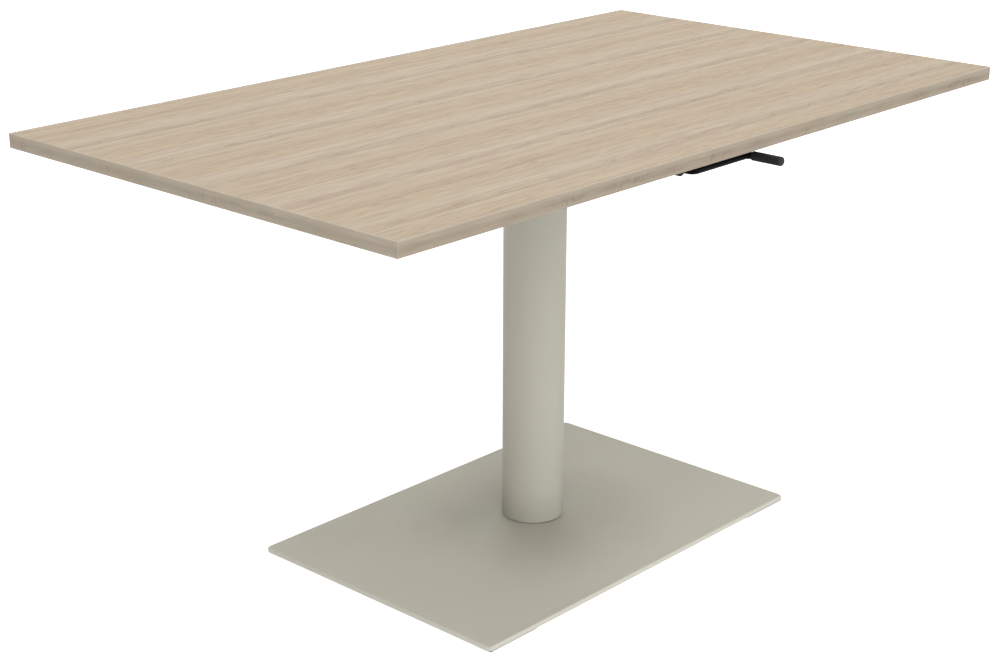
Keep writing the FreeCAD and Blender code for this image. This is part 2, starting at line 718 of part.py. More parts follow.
def end_bar(label, side):
    """Steel angle along Y that closes the frame's end."""
    body = new_body(label)
    sketch = sketch_on(body, "XZ_Plane", "0 - bar_reach")
    inner = f"{side} * bar_inner"
    leg = f"{side} * (bar_inner + rail_thickness)"
    outer = f"{side} * (bar_inner + rail_flange + rail_thickness)"
    polygon(sketch, [(inner, "underside - rail_height"), (leg, "underside - rail_height"),
                     (leg, "flange_under"), (outer, "flange_under"), (outer, "underside"),
                     (inner, "underside")])
    pad(body, sketch, "2 * bar_reach")
    own = [spot for spot in BAR_SCREWS if spot[0].startswith(f"{side} *")]
    holes(body, own, "screw_radius + hole_play", "flange_under")


# ---------------------------------------------------------------- tabletop
def tabletop_core():
    body = block("tabletop_core", "band_thickness - half_length", "half_length - band_thickness",
                 "band_thickness - half_width", "half_width - band_thickness",
                 "underside", "table_height")
    pilots = sketch_on(body, "XY_Plane", "underside", "Pilots")
    for across, up in RAIL_SCREWS + BAR_SCREWS + HEAD_SCREWS + CLIP_SCREWS:
        circle(pilots, across, up, "screw_radius + guide_fit")
    blind(body, pilots, "screw_bite + 1", True, "PilotHoles")


def edge_bands():
    """Thin bands: the long pair covers the corners, the short pair fits between."""
    for side, name in ((-1, "front"), (1, "rear")):
        body = block(f"edge_band_{name}", "0 - half_length", "half_length",
                     f"{side} * (half_width - band_thickness)", f"{side} * half_width",
                     "underside", "table_height")
        outer = value(f"{side} * half_width")
        ease(body, "band_edge", lambda edge: all(near(v.Y, outer) for v in edge.Vertexes))
    for side, name in ((-1, "left"), (1, "right")):
        body = block(f"edge_band_{name}", f"{side} * (half_length - band_thickness)",
                     f"{side} * half_length", "band_thickness - half_width",
                     "half_width - band_thickness", "underside", "table_height")
        outer = value(f"{side} * half_length")
        along_y = along(Y_AXIS)
        ease(body, "band_edge", lambda edge: along_y(edge) and near(edge.Vertexes[0].X, outer))


# ---------------------------------------------------------------- release lever
def lever_rod():
    """Bent rod: grip end, cross run along the front, long run back to the column."""
    body = new_body("lever_rod")
    start = sketch_on(body, "XZ_Plane", "0 - finger_hub", "Section")
    circle(start, "0 - lever_place", "lever_level", "lever_radius")
    path = sketch_on(body, "XY_Plane", "lever_level", "Path")
    back = ("0 - lever_place", "finger_hub")
    into_run = ("0 - lever_place", "run_place + lever_bend")
    run_start = ("lever_bend - lever_place", "run_place")
    run_end = ("grip_place - lever_bend", "run_place")
    into_grip = ("grip_place", "run_place - lever_bend")
    tip = ("grip_place", "grip_end + grip_wall_end")
    for start_spot, end_spot in ((back, into_run), (run_start, run_end), (into_grip, tip)):
        path.addGeometry(Part.LineSegment(point(*start_spot), point(*end_spot)))
    bends = (("lever_bend - lever_place", "run_place + lever_bend", 180, 270),
             ("grip_place - lever_bend", "run_place - lever_bend", 0, 90))
    for across, up, first, last in bends:
        whole = Part.Circle(point(across, up), Z_AXIS, value("lever_bend"))
        path.addGeometry(Part.ArcOfCircle(whole, math.radians(first), math.radians(last)))
    pin(path, 0, 1, *back)
    pin(path, 0, 2, *into_run)
    pin(path, 1, 1, *run_start)
    pin(path, 1, 2, *run_end)
    pin(path, 2, 1, *into_grip)
    pin(path, 2, 2, *tip)
    for arc, first, first_end, last, last_end in ((3, 0, 2, 1, 1), (4, 2, 1, 1, 2)):
        path.addConstraint(Sketcher.Constraint("Coincident", arc, 1, first, first_end))
        path.addConstraint(Sketcher.Constraint("Coincident", arc, 2, last, last_end))
        hold(path, "Radius", "lever_bend", arc)
    pipe = body.newObject("PartDesign::AdditivePipe", "Rod")
    pipe.Profile = start
    pipe.Spine = path
    cross = sketch_on(body, "XY_Plane", "lever_level", "PinHole")
    circle(cross, "0 - lever_place", "0", "finger_pin_radius + guide_fit")
    pocket(body, cross, "PinOpening")


def lever_grip():
    """Moulded sleeve with a closed, rounded end, pushed on the rod."""
    body = new_body("lever_grip")
    length = "run_place - lever_bend - grip_end"
    turned(body, [("lever_bore", "0"), ("grip_radius - 0.8", "0"), ("grip_radius", "0.8"),
                  ("grip_radius", length), ("0", length), ("0", f"{length} - grip_wall_end + 0.1"),
                  ("lever_bore", f"{length} - grip_wall_end + 0.1")])
    ease(body, "grip_radius * 0.38", level(length))
    stand(body, "grip_place", "run_place - lever_bend", "lever_level", Rotation(X_AXIS, 90))


def lever_bearing_clip():
    """Moulded clip under the board: flange, two cheeks and a round underside."""
    body = new_body("lever_bearing_clip")
    back = "0 - clip_back"
    middle = "0 - lever_place"
    cheeks = sketch_on(body, "XZ_Plane", back, "Cheeks")
    rectangle(cheeks, f"{middle} - clip_radius", f"{middle} + clip_radius",
              "lever_level", "underside - clip_flange_thickness")
    pad(body, cheeks, "clip_length", "CheekPad")
    flange = sketch_on(body, "XZ_Plane", back, "Flange")
    rectangle(flange, f"{middle} - clip_flange", f"{middle} + clip_flange",
              "underside - clip_flange_thickness", "underside")
    pad(body, flange, "clip_length", "FlangePad")
    belly = sketch_on(body, "XZ_Plane", back, "Belly")
    circle(belly, middle, "lever_level", "clip_radius")
    pad(body, belly, "clip_length", "BellyPad")
    bore = sketch_on(body, "XZ_Plane", back, "Bore")
    circle(bore, middle, "lever_level", "lever_bore")
    pocket(body, bore, "RodBore")
    holes(body, CLIP_SCREWS, "screw_radius + hole_play", "underside")


def lever_bush():
    """Flanged bush in the front rail."""
    body = new_body("lever_bush")
    end = "lever_bush_flange + rail_thickness + lever_bush_tail"
    turned(body, [("lever_bore", "0"), ("lever_bush_radius + lever_bush_rim", "0"),
                  ("lever_bush_radius + lever_bush_rim", "lever_bush_flange"),
                  ("lever_bush_radius - press_gap", "lever_bush_flange"),
                  ("lever_bush_radius - press_gap", end), ("lever_bore", end)])
    stand(body, "0 - lever_place", "0 - rail_outer - lever_bush_flange", "lever_level", LYING)


def lever_stop_collar():
    body = new_body("lever_stop_collar")
    turned(body, [("lever_radius + press_gap", "0"), ("collar_radius - small_chamfer", "0"),
                  ("collar_radius", "small_chamfer"),
                  ("collar_radius", "collar_length - small_chamfer"),
                  ("collar_radius - small_chamfer", "collar_length"),
                  ("lever_radius + press_gap", "collar_length")])
    stand(body, "0 - lever_place", "clip_back + contact_gap", "lever_level", LYING)


def release_finger():
    """Hub pinned on the rod's end, with an arm that reaches into the inner column."""
    body = new_body("release_finger")
    near = "0 - finger_width / 2"
    arm = sketch_on(body, "XZ_Plane", near, "Arm")
    tip = "contact_place + 6.5"
    polygon(arm, [("0 - lever_place", "finger_under"), ("contact_place + 5", "finger_under"),
                  (tip, "finger_under + 2"), (tip, "finger_under + finger_thickness - 1.5"),
                  ("contact_place", "finger_under + finger_thickness"),
                  ("0 - lever_place", "lever_level + lever_radius")])
    pad(body, arm, "finger_width", "ArmPad")
    hub = sketch_on(body, "XZ_Plane", near, "Hub")
    circle(hub, "0 - lever_place", "lever_level", "finger_hub")
    pad(body, hub, "finger_width", "HubPad")
    bore = sketch_on(body, "XZ_Plane", near, "Bore")
    circle(bore, "0 - lever_place", "lever_level", "lever_bore")
    pocket(body, bore, "RodBore")
    cross = sketch_on(body, "XY_Plane", "lever_level", "PinHole")
    circle(cross, "0 - lever_place", "0", "finger_pin_radius + guide_fit")
    pocket(body, cross, "PinOpening")


def finger_pin():
    body = new_body("finger_pin")
    sketch = sketch_on(body, "XY_Plane", "lever_level - finger_hub + 0.5")
    circle(sketch, "0 - lever_place", "0", "finger_pin_radius")
    pad(body, sketch, "2 * finger_hub - 1")


# ---------------------------------------------------------------- release rocker
def release_rocker():
    """First-order link: nose under the finger, boss over the pin, hub on its pivot."""
    body = new_body("release_rocker")
    near = "0 - rocker_width / 2"
    web = sketch_on(body, "XZ_Plane", near, "Web")
    polygon(web, [("contact_place", "nose_level - rocker_nose * 0.7"),
                  ("0", "boss_level - 1"),
                  ("pivot_place", "pivot_level - rocker_hub * 0.8"),
                  ("pivot_place", "pivot_level + rocker_hub * 0.8"),
                  ("contact_place", "nose_level + rocker_nose * 0.5")])
    pad(body, web, "rocker_width", "WebPad")
    for across, up, radius, name in (("pivot_place", "pivot_level", "rocker_hub", "Hub"),
                                     ("contact_place", "nose_level", "rocker_nose", "Nose"),
                                     ("0", "boss_level", "rocker_boss", "Boss")):
        outline = sketch_on(body, "XZ_Plane", near, name + "Outline")
        circle(outline, across, up, radius)
        pad(body, outline, "rocker_width", name)
    bore = sketch_on(body, "XZ_Plane", near, "Bore")
    circle(bore, "pivot_place", "pivot_level", "rocker_pin_radius + guide_fit")
    pocket(body, bore, "PivotBore")


def rocker_bracket():
    """U-shaped bracket welded under the head plate."""
    body = block("rocker_bracket", "pivot_place - bracket_half_length",
                 "pivot_place + bracket_half_length",
                 "0 - rocker_width / 2 - contact_gap - bracket_wall",
                 "rocker_width / 2 + contact_gap + bracket_wall",
                 "pivot_level - bracket_half_length", "head_under")
    ease(body, "bracket_half_length - 0.1",
         lambda edge: along(Y_AXIS)(edge) and level("pivot_level - bracket_half_length")(edge))
    channel = sketch_on(body, "XY_Plane", "pivot_level - bracket_half_length", "Channel")
    rectangle(channel, "pivot_place - bracket_half_length - 1", "pivot_place + bracket_half_length + 1",
              "0 - rocker_width / 2 - contact_gap", "rocker_width / 2 + contact_gap")
    blind(body, channel, "head_under - bracket_wall - pivot_level + bracket_half_length", True,
          "ChannelCut")
    bore = sketch_on(body, "XZ_Plane", "0", "Bore")
    circle(bore, "pivot_place", "pivot_level", "rocker_pin_radius + press_gap")
    pocket(body, bore, "PinBore")


def rocker_pin():
    """Headed pin through the bracket and the rocker."""
    body = new_body("rocker_pin")
    reach = "rocker_width / 2 + contact_gap + bracket_wall"
    head = "rocker_pin_radius + rocker_pin_head"
    end = f"{reach} + rocker_pin_head"
    turned(body, [("0", f"0 - ({end})"), (head, f"0 - ({end})"),
                  (head, f"0 - ({reach})"), ("rocker_pin_radius", f"0 - ({reach})"),
                  ("rocker_pin_radius", reach), (head, reach), (head, end), ("0", end)])
    stand(body, "pivot_place", "0", "pivot_level", LYING)


base_plate()
base_cover()
ballast("ballast_plate_lower", "ballast_length / 2", "ballast_width / 2", "plate_top")
ballast("ballast_plate_upper", "ballast_length / 2 - ballast_step",
        "ballast_width / 2 - ballast_step_side", "plate_top + ballast_thickness")
base_boss()
foot_disc()
countersunk("column_bolts", COLUMN_BOLTS, "column_bolt_radius", "column_foot + column_bolt_grip")
countersunk("ballast_screws", BALLAST_SCREWS, "ballast_screw_radius",
            "plate_top + 2 * ballast_thickness - 0.5")
glides()
outer_column()
upper_guide_bush()
gas_spring_stand()
gas_cylinder()
inner_column()
lower_guide_bush()
guide_key()
head_bridge()
piston_rod()
gas_piston()
rod_lock_nut()
release_pin()
head_plate()
support_rail_front()
support_rail("support_rail_rear", 1)
end_bar("end_bar_left", -1)
end_bar("end_bar_right", 1)
tabletop_core()
edge_bands()
screws("frame_screws", ((RAIL_SCREWS + BAR_SCREWS, "flange_under"), (HEAD_SCREWS, "head_under")))
screws("clip_screws", ((CLIP_SCREWS, "underside - clip_flange_thickness"),))
lever_rod()
lever_grip()
lever_bearing_clip()
lever_bush()
lever_stop_collar()
release_finger()
finger_pin()
release_rocker()
rocker_bracket()
rocker_pin()
doc.recompute()

# ---------------------------------------------------------------- checks, then one STEP per sub-part
for item in doc.Objects:
    if "Invalid" in item.State or "Error" in item.State:
        raise RuntimeError(f"{item.Label}: {item.State}")
for cut in CUTS:
    if cut.Shape.Volume > cut.BaseFeature.Shape.Volume - 1e-3:
        raise RuntimeError(f"{cut.Label}: cuts nothing")
for body in NODES:
    if body.Shape.isNull() or not body.Shape.isValid():
        raise RuntimeError(f"{body.Label}: no valid shape")

os.makedirs("parts", exist_ok=True)
for body in NODES:
    body.Shape.exportStep(f"parts/{body.Label}.step")
print(len(NODES), "sub-parts")
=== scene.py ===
# %% [markdown]
# # A telescoping pedestal table
# The table has a light oak board, a round steel column, a pressed steel foot and a
# release lever under the front edge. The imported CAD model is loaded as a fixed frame, and
# every piece made here sits where that frame says. All lengths are metres.

# %% Load the frame
import json
import math

import bmesh
import bpy
from mathutils import Matrix, Vector


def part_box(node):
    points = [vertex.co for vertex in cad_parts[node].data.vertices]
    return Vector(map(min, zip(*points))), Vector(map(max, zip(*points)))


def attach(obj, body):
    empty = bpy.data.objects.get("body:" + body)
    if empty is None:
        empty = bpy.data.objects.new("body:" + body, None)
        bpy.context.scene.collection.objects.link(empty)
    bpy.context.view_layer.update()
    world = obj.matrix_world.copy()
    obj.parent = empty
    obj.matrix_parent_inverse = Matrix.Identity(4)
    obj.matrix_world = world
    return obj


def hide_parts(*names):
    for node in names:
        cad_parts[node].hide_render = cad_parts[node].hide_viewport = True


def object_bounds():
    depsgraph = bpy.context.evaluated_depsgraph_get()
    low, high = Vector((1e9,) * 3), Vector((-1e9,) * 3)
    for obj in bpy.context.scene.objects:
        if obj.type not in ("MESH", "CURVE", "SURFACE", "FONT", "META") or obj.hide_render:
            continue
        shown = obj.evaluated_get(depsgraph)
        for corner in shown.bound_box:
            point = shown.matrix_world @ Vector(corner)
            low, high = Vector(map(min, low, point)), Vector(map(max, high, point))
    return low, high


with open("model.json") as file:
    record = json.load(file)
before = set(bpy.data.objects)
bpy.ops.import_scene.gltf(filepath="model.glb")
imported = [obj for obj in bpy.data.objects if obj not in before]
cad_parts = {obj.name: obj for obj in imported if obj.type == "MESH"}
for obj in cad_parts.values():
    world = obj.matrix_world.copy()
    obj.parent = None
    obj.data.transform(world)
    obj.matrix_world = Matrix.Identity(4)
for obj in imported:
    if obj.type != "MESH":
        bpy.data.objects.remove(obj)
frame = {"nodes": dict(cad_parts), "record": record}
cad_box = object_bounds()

MM = 0.001

# %% [markdown]
# ## The camera
# The table is seen from its front left corner, from a little above the board and from
# about three metres away. A long lens keeps the far corner of the board large, and a
# slight shift of the lens frames the object without turning the camera.

# %% Camera
IMAGE_WIDTH = 1000                 # pixels
FOCAL_PIXELS = 1937.6
LENS_SHIFT = (0.01305, 0.00291)    # shares of the image's width
EYE = Vector((-2.23729, -1.97223, 1.39446))
HEADING = 0.8225                   # radians from +Y towards +X
TILT = 0.3392                      # radians below the horizon
ROLL = 0.001

ahead = Vector((math.cos(TILT) * math.sin(HEADING), math.cos(TILT) * math.cos(HEADING),
                -math.sin(TILT)))
level_right = Vector((math.cos(HEADING), -math.sin(HEADING), 0))
level_up = level_right.cross(ahead)
right = math.cos(ROLL) * level_right + math.sin(ROLL) * level_up
up = math.cos(ROLL) * level_up - math.sin(ROLL) * level_right


def in_scene(name, data):
    """New object in the scene."""
    made = bpy.data.objects.new(name, data)
    bpy.context.scene.collection.objects.link(made)
    return made


lens = bpy.data.cameras.new("Camera")
lens.sensor_width = 36
lens.lens = FOCAL_PIXELS * lens.sensor_width / IMAGE_WIDTH
lens.shift_x, lens.shift_y = LENS_SHIFT
lens.clip_start = 0.05
lens.clip_end = 60
camera = in_scene("Camera", lens)
camera.matrix_world = Matrix((right, up, -ahead)).transposed().to_4x4()
camera.location = EYE
bpy.context.scene.camera = camera
bpy.context.scene.view_settings.view_transform = "Standard"
print("lens", round(lens.lens, 1), "mm")

# %% [markdown]
# ## A short way to write node trees
# Materials and Geometry Nodes are both trees of nodes joined by links. One function adds
# a node, gives its settings, and either links or sets each input. A few more functions
# name the steps that come back often, so the trees below stay as short as their idea.

# %% Node maker
def put(tree, kind, inputs=None, **settings):
    """Add a node. Inputs map a socket's name or number to a value or another socket."""
    node = tree.nodes.new(kind)
    for name, setting in settings.items():
        setattr(node, name, setting)
    for name, what in (inputs or {}).items():
        if isinstance(what, bpy.types.NodeSocket):
            tree.links.new(what, node.inputs[name])
        else:
            node.inputs[name].default_value = what
    return node


def emptied(owner):
    """The empty node tree of a material or a world."""
    owner.use_nodes = True
    owner.node_tree.nodes.clear()
    return owner.node_tree


def get(tree, kind, inputs=None, **settings):
    """Add a node and take its first output."""
    return put(tree, kind, inputs, **settings).outputs[0]


def object_place(tree):
    """Where the shaded point lies in the object's own coordinates."""
    return put(tree, "ShaderNodeTexCoord").outputs["Object"]


print("node maker ready")

# %% Steps of arithmetic
def calc(tree, operation, first, second=0.0, third=0.0, clamp=False):
    """One step with numbers."""
    return get(tree, "ShaderNodeMath", {0: first, 1: second, 2: third}, operation=operation,
               use_clamp=clamp)


def minus(tree, first, second):
    return calc(tree, "SUBTRACT", first, second)


def times(tree, first, second):
    return calc(tree, "MULTIPLY", first, second)


def between(tree, value, low, high, to_low=0.0, to_high=1.0):
    """Stretch the range from low to high onto another range, smoothly at both ends."""
    return get(tree, "ShaderNodeMapRange",
               {"Value": value, 1: low, 2: high, 3: to_low, 4: to_high},
               interpolation_type="SMOOTHSTEP")


def nudge(tree, value, source, amount):
    """Value moved up and down by a noise whose middle is one half."""
    return calc(tree, "MULTIPLY_ADD", minus(tree, source, 0.5), amount, value)


def calc_vector(tree, operation, first, second=(0, 0, 0)):
    """One step with vectors."""
    return get(tree, "ShaderNodeVectorMath", {0: first, 1: second}, operation=operation)


def stretched(tree, vector, amount):
    """Vector or colour times a number."""
    return get(tree, "ShaderNodeVectorMath", {0: vector, 3: amount}, operation="SCALE")


def length(tree, vector):
    """Length of a vector."""
    return put(tree, "ShaderNodeVectorMath", {0: vector}, operation="LENGTH").outputs["Value"]


def apart(tree, vector):
    """The X, Y and Z sockets of a vector."""
    return put(tree, "ShaderNodeSeparateXYZ", {0: vector}).outputs


def together(tree, x=0.0, y=0.0, z=0.0):
    """Vector from three numbers."""
    return get(tree, "ShaderNodeCombineXYZ", {0: x, 1: y, 2: z})


print("steps of arithmetic ready")

# %% Patterns and colours
def placed(tree, vector, size, turn=0.0, move=(0, 0, 0)):
    """Coordinates in which a pattern feature of the given size in metres measures one."""
    return get(tree, "ShaderNodeMapping", {"Vector": vector, "Scale": size, "Location": move,
                                           "Rotation": (0, 0, math.radians(turn))},
               vector_type="TEXTURE")


def noise(tree, vector, size=(1, 1, 1), turn=0.0, move=(0, 0, 0), detail=2.0, roughness=0.5,
          distortion=0.0):
    """Noise with features of a given size in metres, turned by some degrees and moved."""
    return put(tree, "ShaderNodeTexNoise",
               {"Vector": placed(tree, vector, size, turn, move), "Scale": 1.0, "Detail": detail,
                "Roughness": roughness, "Distortion": distortion}).outputs["Fac"]


def mixed(tree, share, first, second):
    """Mix of two colours."""
    return put(tree, "ShaderNodeMix", {0: share, 6: first, 7: second}, data_type="RGBA").outputs[2]


def srgb(red, green, blue):
    """Linear colour of a paint chart's 0 to 255 values."""
    def linear(part):
        part /= 255
        return part / 12.92 if part <= 0.04045 else ((part + 0.055) / 1.055) ** 2.4
    return (linear(red), linear(green), linear(blue), 1.0)


print("a middle grey is", round(srgb(128, 128, 128)[0], 3), "linear")

# %% [markdown]
# ## The studio
# The table stands on a plain pale floor under a white sky, with seven wide soft lamps
# around and above it. The floor glows a little, so light also comes from below, as over
# a light table. The floor and the sky are plain white to the camera and in reflections,
# but they light the object at a lower level, so pale paint keeps its own colour. The
# floor still takes the object's shadow, and farther out it fades to the sky's white.

# %% Sky
SKY_LIGHT = 0.05


def white_to_the_eye(tree):
    """1 where the camera, a reflection or a refraction looks, and 0 for light rays."""
    path = put(tree, "ShaderNodeLightPath")
    eye = calc(tree, "MAXIMUM", path.outputs["Is Camera Ray"], path.outputs["Is Glossy Ray"])
    return calc(tree, "MAXIMUM", eye, path.outputs["Is Transmission Ray"])


world = bpy.data.worlds.new("Sky")
bpy.context.scene.world = world
tree = emptied(world)
strength = calc(tree, "MULTIPLY_ADD", white_to_the_eye(tree), 1 - SKY_LIGHT, SKY_LIGHT)
sky = get(tree, "ShaderNodeBackground", {"Color": (1, 1, 1, 1), "Strength": strength})
put(tree, "ShaderNodeOutputWorld", {"Surface": sky})
print("the sky lights the table at", SKY_LIGHT)

# %% Floor
FLOOR_REACH = 14.0
FLOOR_WHITE = 0.78         # glow near the table, to the eye
FLOOR_LIGHT = 0.28         # glow that lights the table
FADE_FROM, FADE_TO = 1.2, 5.0

floor_paint = bpy.data.materials.new("floor_white")
tree = emptied(floor_paint)
matt = get(tree, "ShaderNodeBsdfDiffuse", {"Color": (0.8, 0.8, 0.8, 1)})
seen = between(tree, length(tree, object_place(tree)), FADE_FROM, FADE_TO, FLOOR_WHITE, 1.0)
strength = calc(tree, "MULTIPLY_ADD", white_to_the_eye(tree),
                minus(tree, seen, FLOOR_LIGHT), FLOOR_LIGHT)
glow = get(tree, "ShaderNodeEmission", {"Color": (1, 1, 1, 1), "Strength": strength})
both = get(tree, "ShaderNodeAddShader", {0: matt, 1: glow})
put(tree, "ShaderNodeOutputMaterial", {"Surface": both})

floor_mesh = bpy.data.meshes.new("floor")
corners = [(FLOOR_REACH * i, FLOOR_REACH * j, 0) for i, j in ((-1, -1), (1, -1), (1, 1), (-1, 1))]
floor_mesh.from_pydata(corners, [], [(0, 1, 2, 3)])
floor = in_scene("floor", floor_mesh)
floor.data.materials.append(floor_paint)
print("floor fades to white from", FADE_FROM, "to", FADE_TO, "m")

# %% Lamps
LAMP_SIZE = 5.5
LAMP_REACH = 7.0
LAMPS = (
    # name, degrees round from +X, degrees above the horizon, watts
    ("overhead_lamp", 270, 85, 93),
    ("rear_high_lamp", 80, 60, 74),
    ("front_left_lamp", 225, 44, 232),
    ("low_left_lamp", 225, 8, 56),
    ("low_front_lamp", 285, 8, 56),
    ("front_right_lamp", 315, 35, 66),
    ("rear_right_lamp", 45, 35, 122),
)

table_middle = Vector((0, 0, cad_box[1].z / 2))
for name, round_by, height, power in LAMPS:
    turn, rise = math.radians(round_by), math.radians(height)
    towards = Vector((math.cos(turn) * math.cos(rise), math.sin(turn) * math.cos(rise),
                      math.sin(rise)))
    light = bpy.data.lights.new(name, "AREA")
    light.size = LAMP_SIZE
    light.energy = power
    lamp = in_scene(name, light)
    lamp.location = table_middle + LAMP_REACH * towards
    lamp.rotation_euler = towards.to_track_quat("Z", "Y").to_euler()
print(len(LAMPS), "soft lamps,", sum(row[3] for row in LAMPS), "W")

# %% [markdown]
# ## Shader groups
# Several finishes share an effect. Each effect is a node group with named inputs that
# puts out a colour, a roughness and a height, and the shader itself stays in the
# material.

# %% Group maker
SURFACE = {"Color": "Color", "Roughness": "Float", "Height": "Float"}


def shader_group(name, inputs, outputs=SURFACE):
    """Empty group with its sockets: the tree, what it is given and where its results go."""
    group = bpy.data.node_groups.new(name, "ShaderNodeTree")
    for title, start in inputs.items():
        kind = {3: "Vector", 4: "Color"}[len(start)] if isinstance(start, tuple) else "Float"
        socket = group.interface.new_socket(title, in_out="INPUT", socket_type="NodeSocket" + kind)
        socket.default_value = start
    for title, kind in outputs.items():
        group.interface.new_socket(title, in_out="OUTPUT", socket_type="NodeSocket" + kind)
    enter = put(group, "NodeGroupInput")
    leave = put(group, "NodeGroupOutput")
    return group, enter.outputs, leave.inputs


def give(group, result, **values):
    """Link values to the group's outputs."""
    for title, value in values.items():
        group.links.new(value, result[title])
    return group


GREY = (0.5, 0.5, 0.5, 1)
print("a surface group gives", ", ".join(SURFACE))

# %% Coat group
def coat_group():
    """Powder coat or moulded skin: faint clouds, fine speckle and an even small texture."""
    group, given, result = shader_group("Fine coat", {
        "Vector": (0, 0, 0), "Color": GREY, "Spread": 0.04, "Texture Size": 0.0016,
        "Roughness": 0.6})
    clouds = noise(group, given["Vector"], (0.12, 0.12, 0.12), detail=4)
    size = given["Texture Size"]
    fine = calc_vector(group, "DIVIDE", given["Vector"], together(group, size, size, size))
    peel = noise(group, fine, detail=3, roughness=0.6)
    speckle = calc(group, "MULTIPLY_ADD", peel, 0.5, times(group, clouds, 0.5))
    shade = nudge(group, 1.0, speckle, given["Spread"])
    return give(group, result, Color=stretched(group, given["Color"], shade), Height=peel,
                Roughness=nudge(group, given["Roughness"], clouds, 0.25))


coat = coat_group()
print(coat.name, [item.name for item in coat.interface.items_tree])

# %% [markdown]
# ## Painted shade in the joint
# The coat is painted darker in the joint between the column and the foot, as painted shade
# where the two parts hide each other's light. It could be painted by hand, but a rule is
# enough: the painted shade fades with the distance from the joint, sooner upwards than
# outwards, and lies thicker on level faces.

# %% Settled dust group
RISE_WEIGHT = 3.2          # how much sooner the painted shade fades upwards


def joint_shade_group():
    """Painted shade round a joint of a given radius and level."""
    group, given, result = shader_group(
        "Painted joint shade", {"Vector": (0, 0, 0), "Color": GREY, "Radius": 0.05, "Level": 0.027,
                         "Reach": 0.22, "Amount": 0.21}, {"Color": "Color"})
    axes = apart(group, given["Vector"])
    radius = length(group, together(group, axes["X"], axes["Y"]))
    out = minus(group, radius, given["Radius"])
    rise = times(group, minus(group, axes["Z"], given["Level"]), RISE_WEIGHT)
    away = calc(group, "DIVIDE", length(group, together(group, out, rise)), given["Reach"])
    cloud = noise(group, given["Vector"], (0.05, 0.05, 0.05), detail=3)
    mask = between(group, nudge(group, away, cloud, 0.25), 0.0, 1.0, 1.0, 0.0)
    normal = put(group, "ShaderNodeNewGeometry").outputs["Normal"]
    level = calc(group, "ABSOLUTE", apart(group, normal)["Z"])
    mask = times(group, mask, calc(group, "MULTIPLY_ADD", level, 0.4, 0.6))
    shade = minus(group, 1.0, times(group, mask, given["Amount"]))
    return give(group, result, Color=stretched(group, given["Color"], shade))


joint_shade = joint_shade_group()
print(joint_shade.name, "reaches", round(joint_shade.interface.items_tree["Reach"].default_value / MM), "mm")

# %% [markdown]
# ## The oak decor
# The board is faced with a printed decor of light oak, matt and quite even. It repeats, as
# the printing cylinder does: bands of pale, honey and brown wood come back every 150 mm
# across the board, and small knots and patches of slanting flecks every 299 mm along it.
# One ramp holds the rhythm of the bands, a lattice holds the knots and the flecks, and
# five noises of different sizes give the lines, the pale threads, the streaks, the fibres
# and the pores.

# %% Rhythm of the decor
REPEAT = 150 * MM
BANDS = (
    # place in the repeat, how pale, how honey
    (0.00, 0.53, 0.00),
    (0.04, 0.69, 0.00),
    (0.115, 0.45, 0.20),
    (0.21, 0.64, 0.65),
    (0.28, 0.37, 0.50),
    (0.34, 0.33, 0.35),
    (0.40, 0.22, 0.30),
    (0.46, 0.42, 0.55),
    (0.50, 0.47, 0.80),
    (0.56, 0.35, 0.60),
    (0.64, 0.62, 0.10),
    (0.73, 0.69, 0.00),
    (0.80, 0.82, 0.00),
    (0.86, 0.52, 0.05),
    (0.955, 0.26, 0.15),
)
TILE = Vector((299, 2 * 150, 10000)) * MM
# Along and across the tile, millimetres.
KNOTS = ((95, 66), (198, 213), (276, 212))
FLECKS = ((58, 140), (172, 140), (250, 141), (57, 291), (175, 289), (255, 291))


def band_ramp(group, turn):
    """How pale and how honey the decor is at a place in its repeat."""
    ramp = put(group, "ShaderNodeValToRGB", {0: turn})
    stops = ramp.color_ramp.elements
    while len(stops) < len(BANDS):
        stops.new(0.5)
    for stop, (at, pale, honey) in zip(stops, BANDS):
        stop.position = at
        stop.color = (pale, honey, 0, 1)
    pale, honey, _ = put(group, "ShaderNodeSeparateColor", {0: ramp.outputs[0]}).outputs
    return pale, honey


def lattice(group, place, spots, along, across):
    """1 at the heart of each spot of the repeating tile, fading over a long flat patch."""
    whole = calc_vector(group, "DIVIDE", place, (TILE.x, -TILE.y, TILE.z))
    tile = calc_vector(group, "FRACTION", whole)
    mask = 0.0
    for x, y in spots:
        spot = placed(group, tile, (along / TILE.x, across / TILE.y, 1000.0),
                      move=(x * MM / TILE.x, y * MM / TILE.y, 0))
        heart = between(group, length(group, spot), 0.1, 1.0, 1.0, 0.0)
        mask = calc(group, "MAXIMUM", mask, heart)
    return mask


print(len(BANDS), "bands,", len(KNOTS), "knots and", len(FLECKS), "patches of flecks")

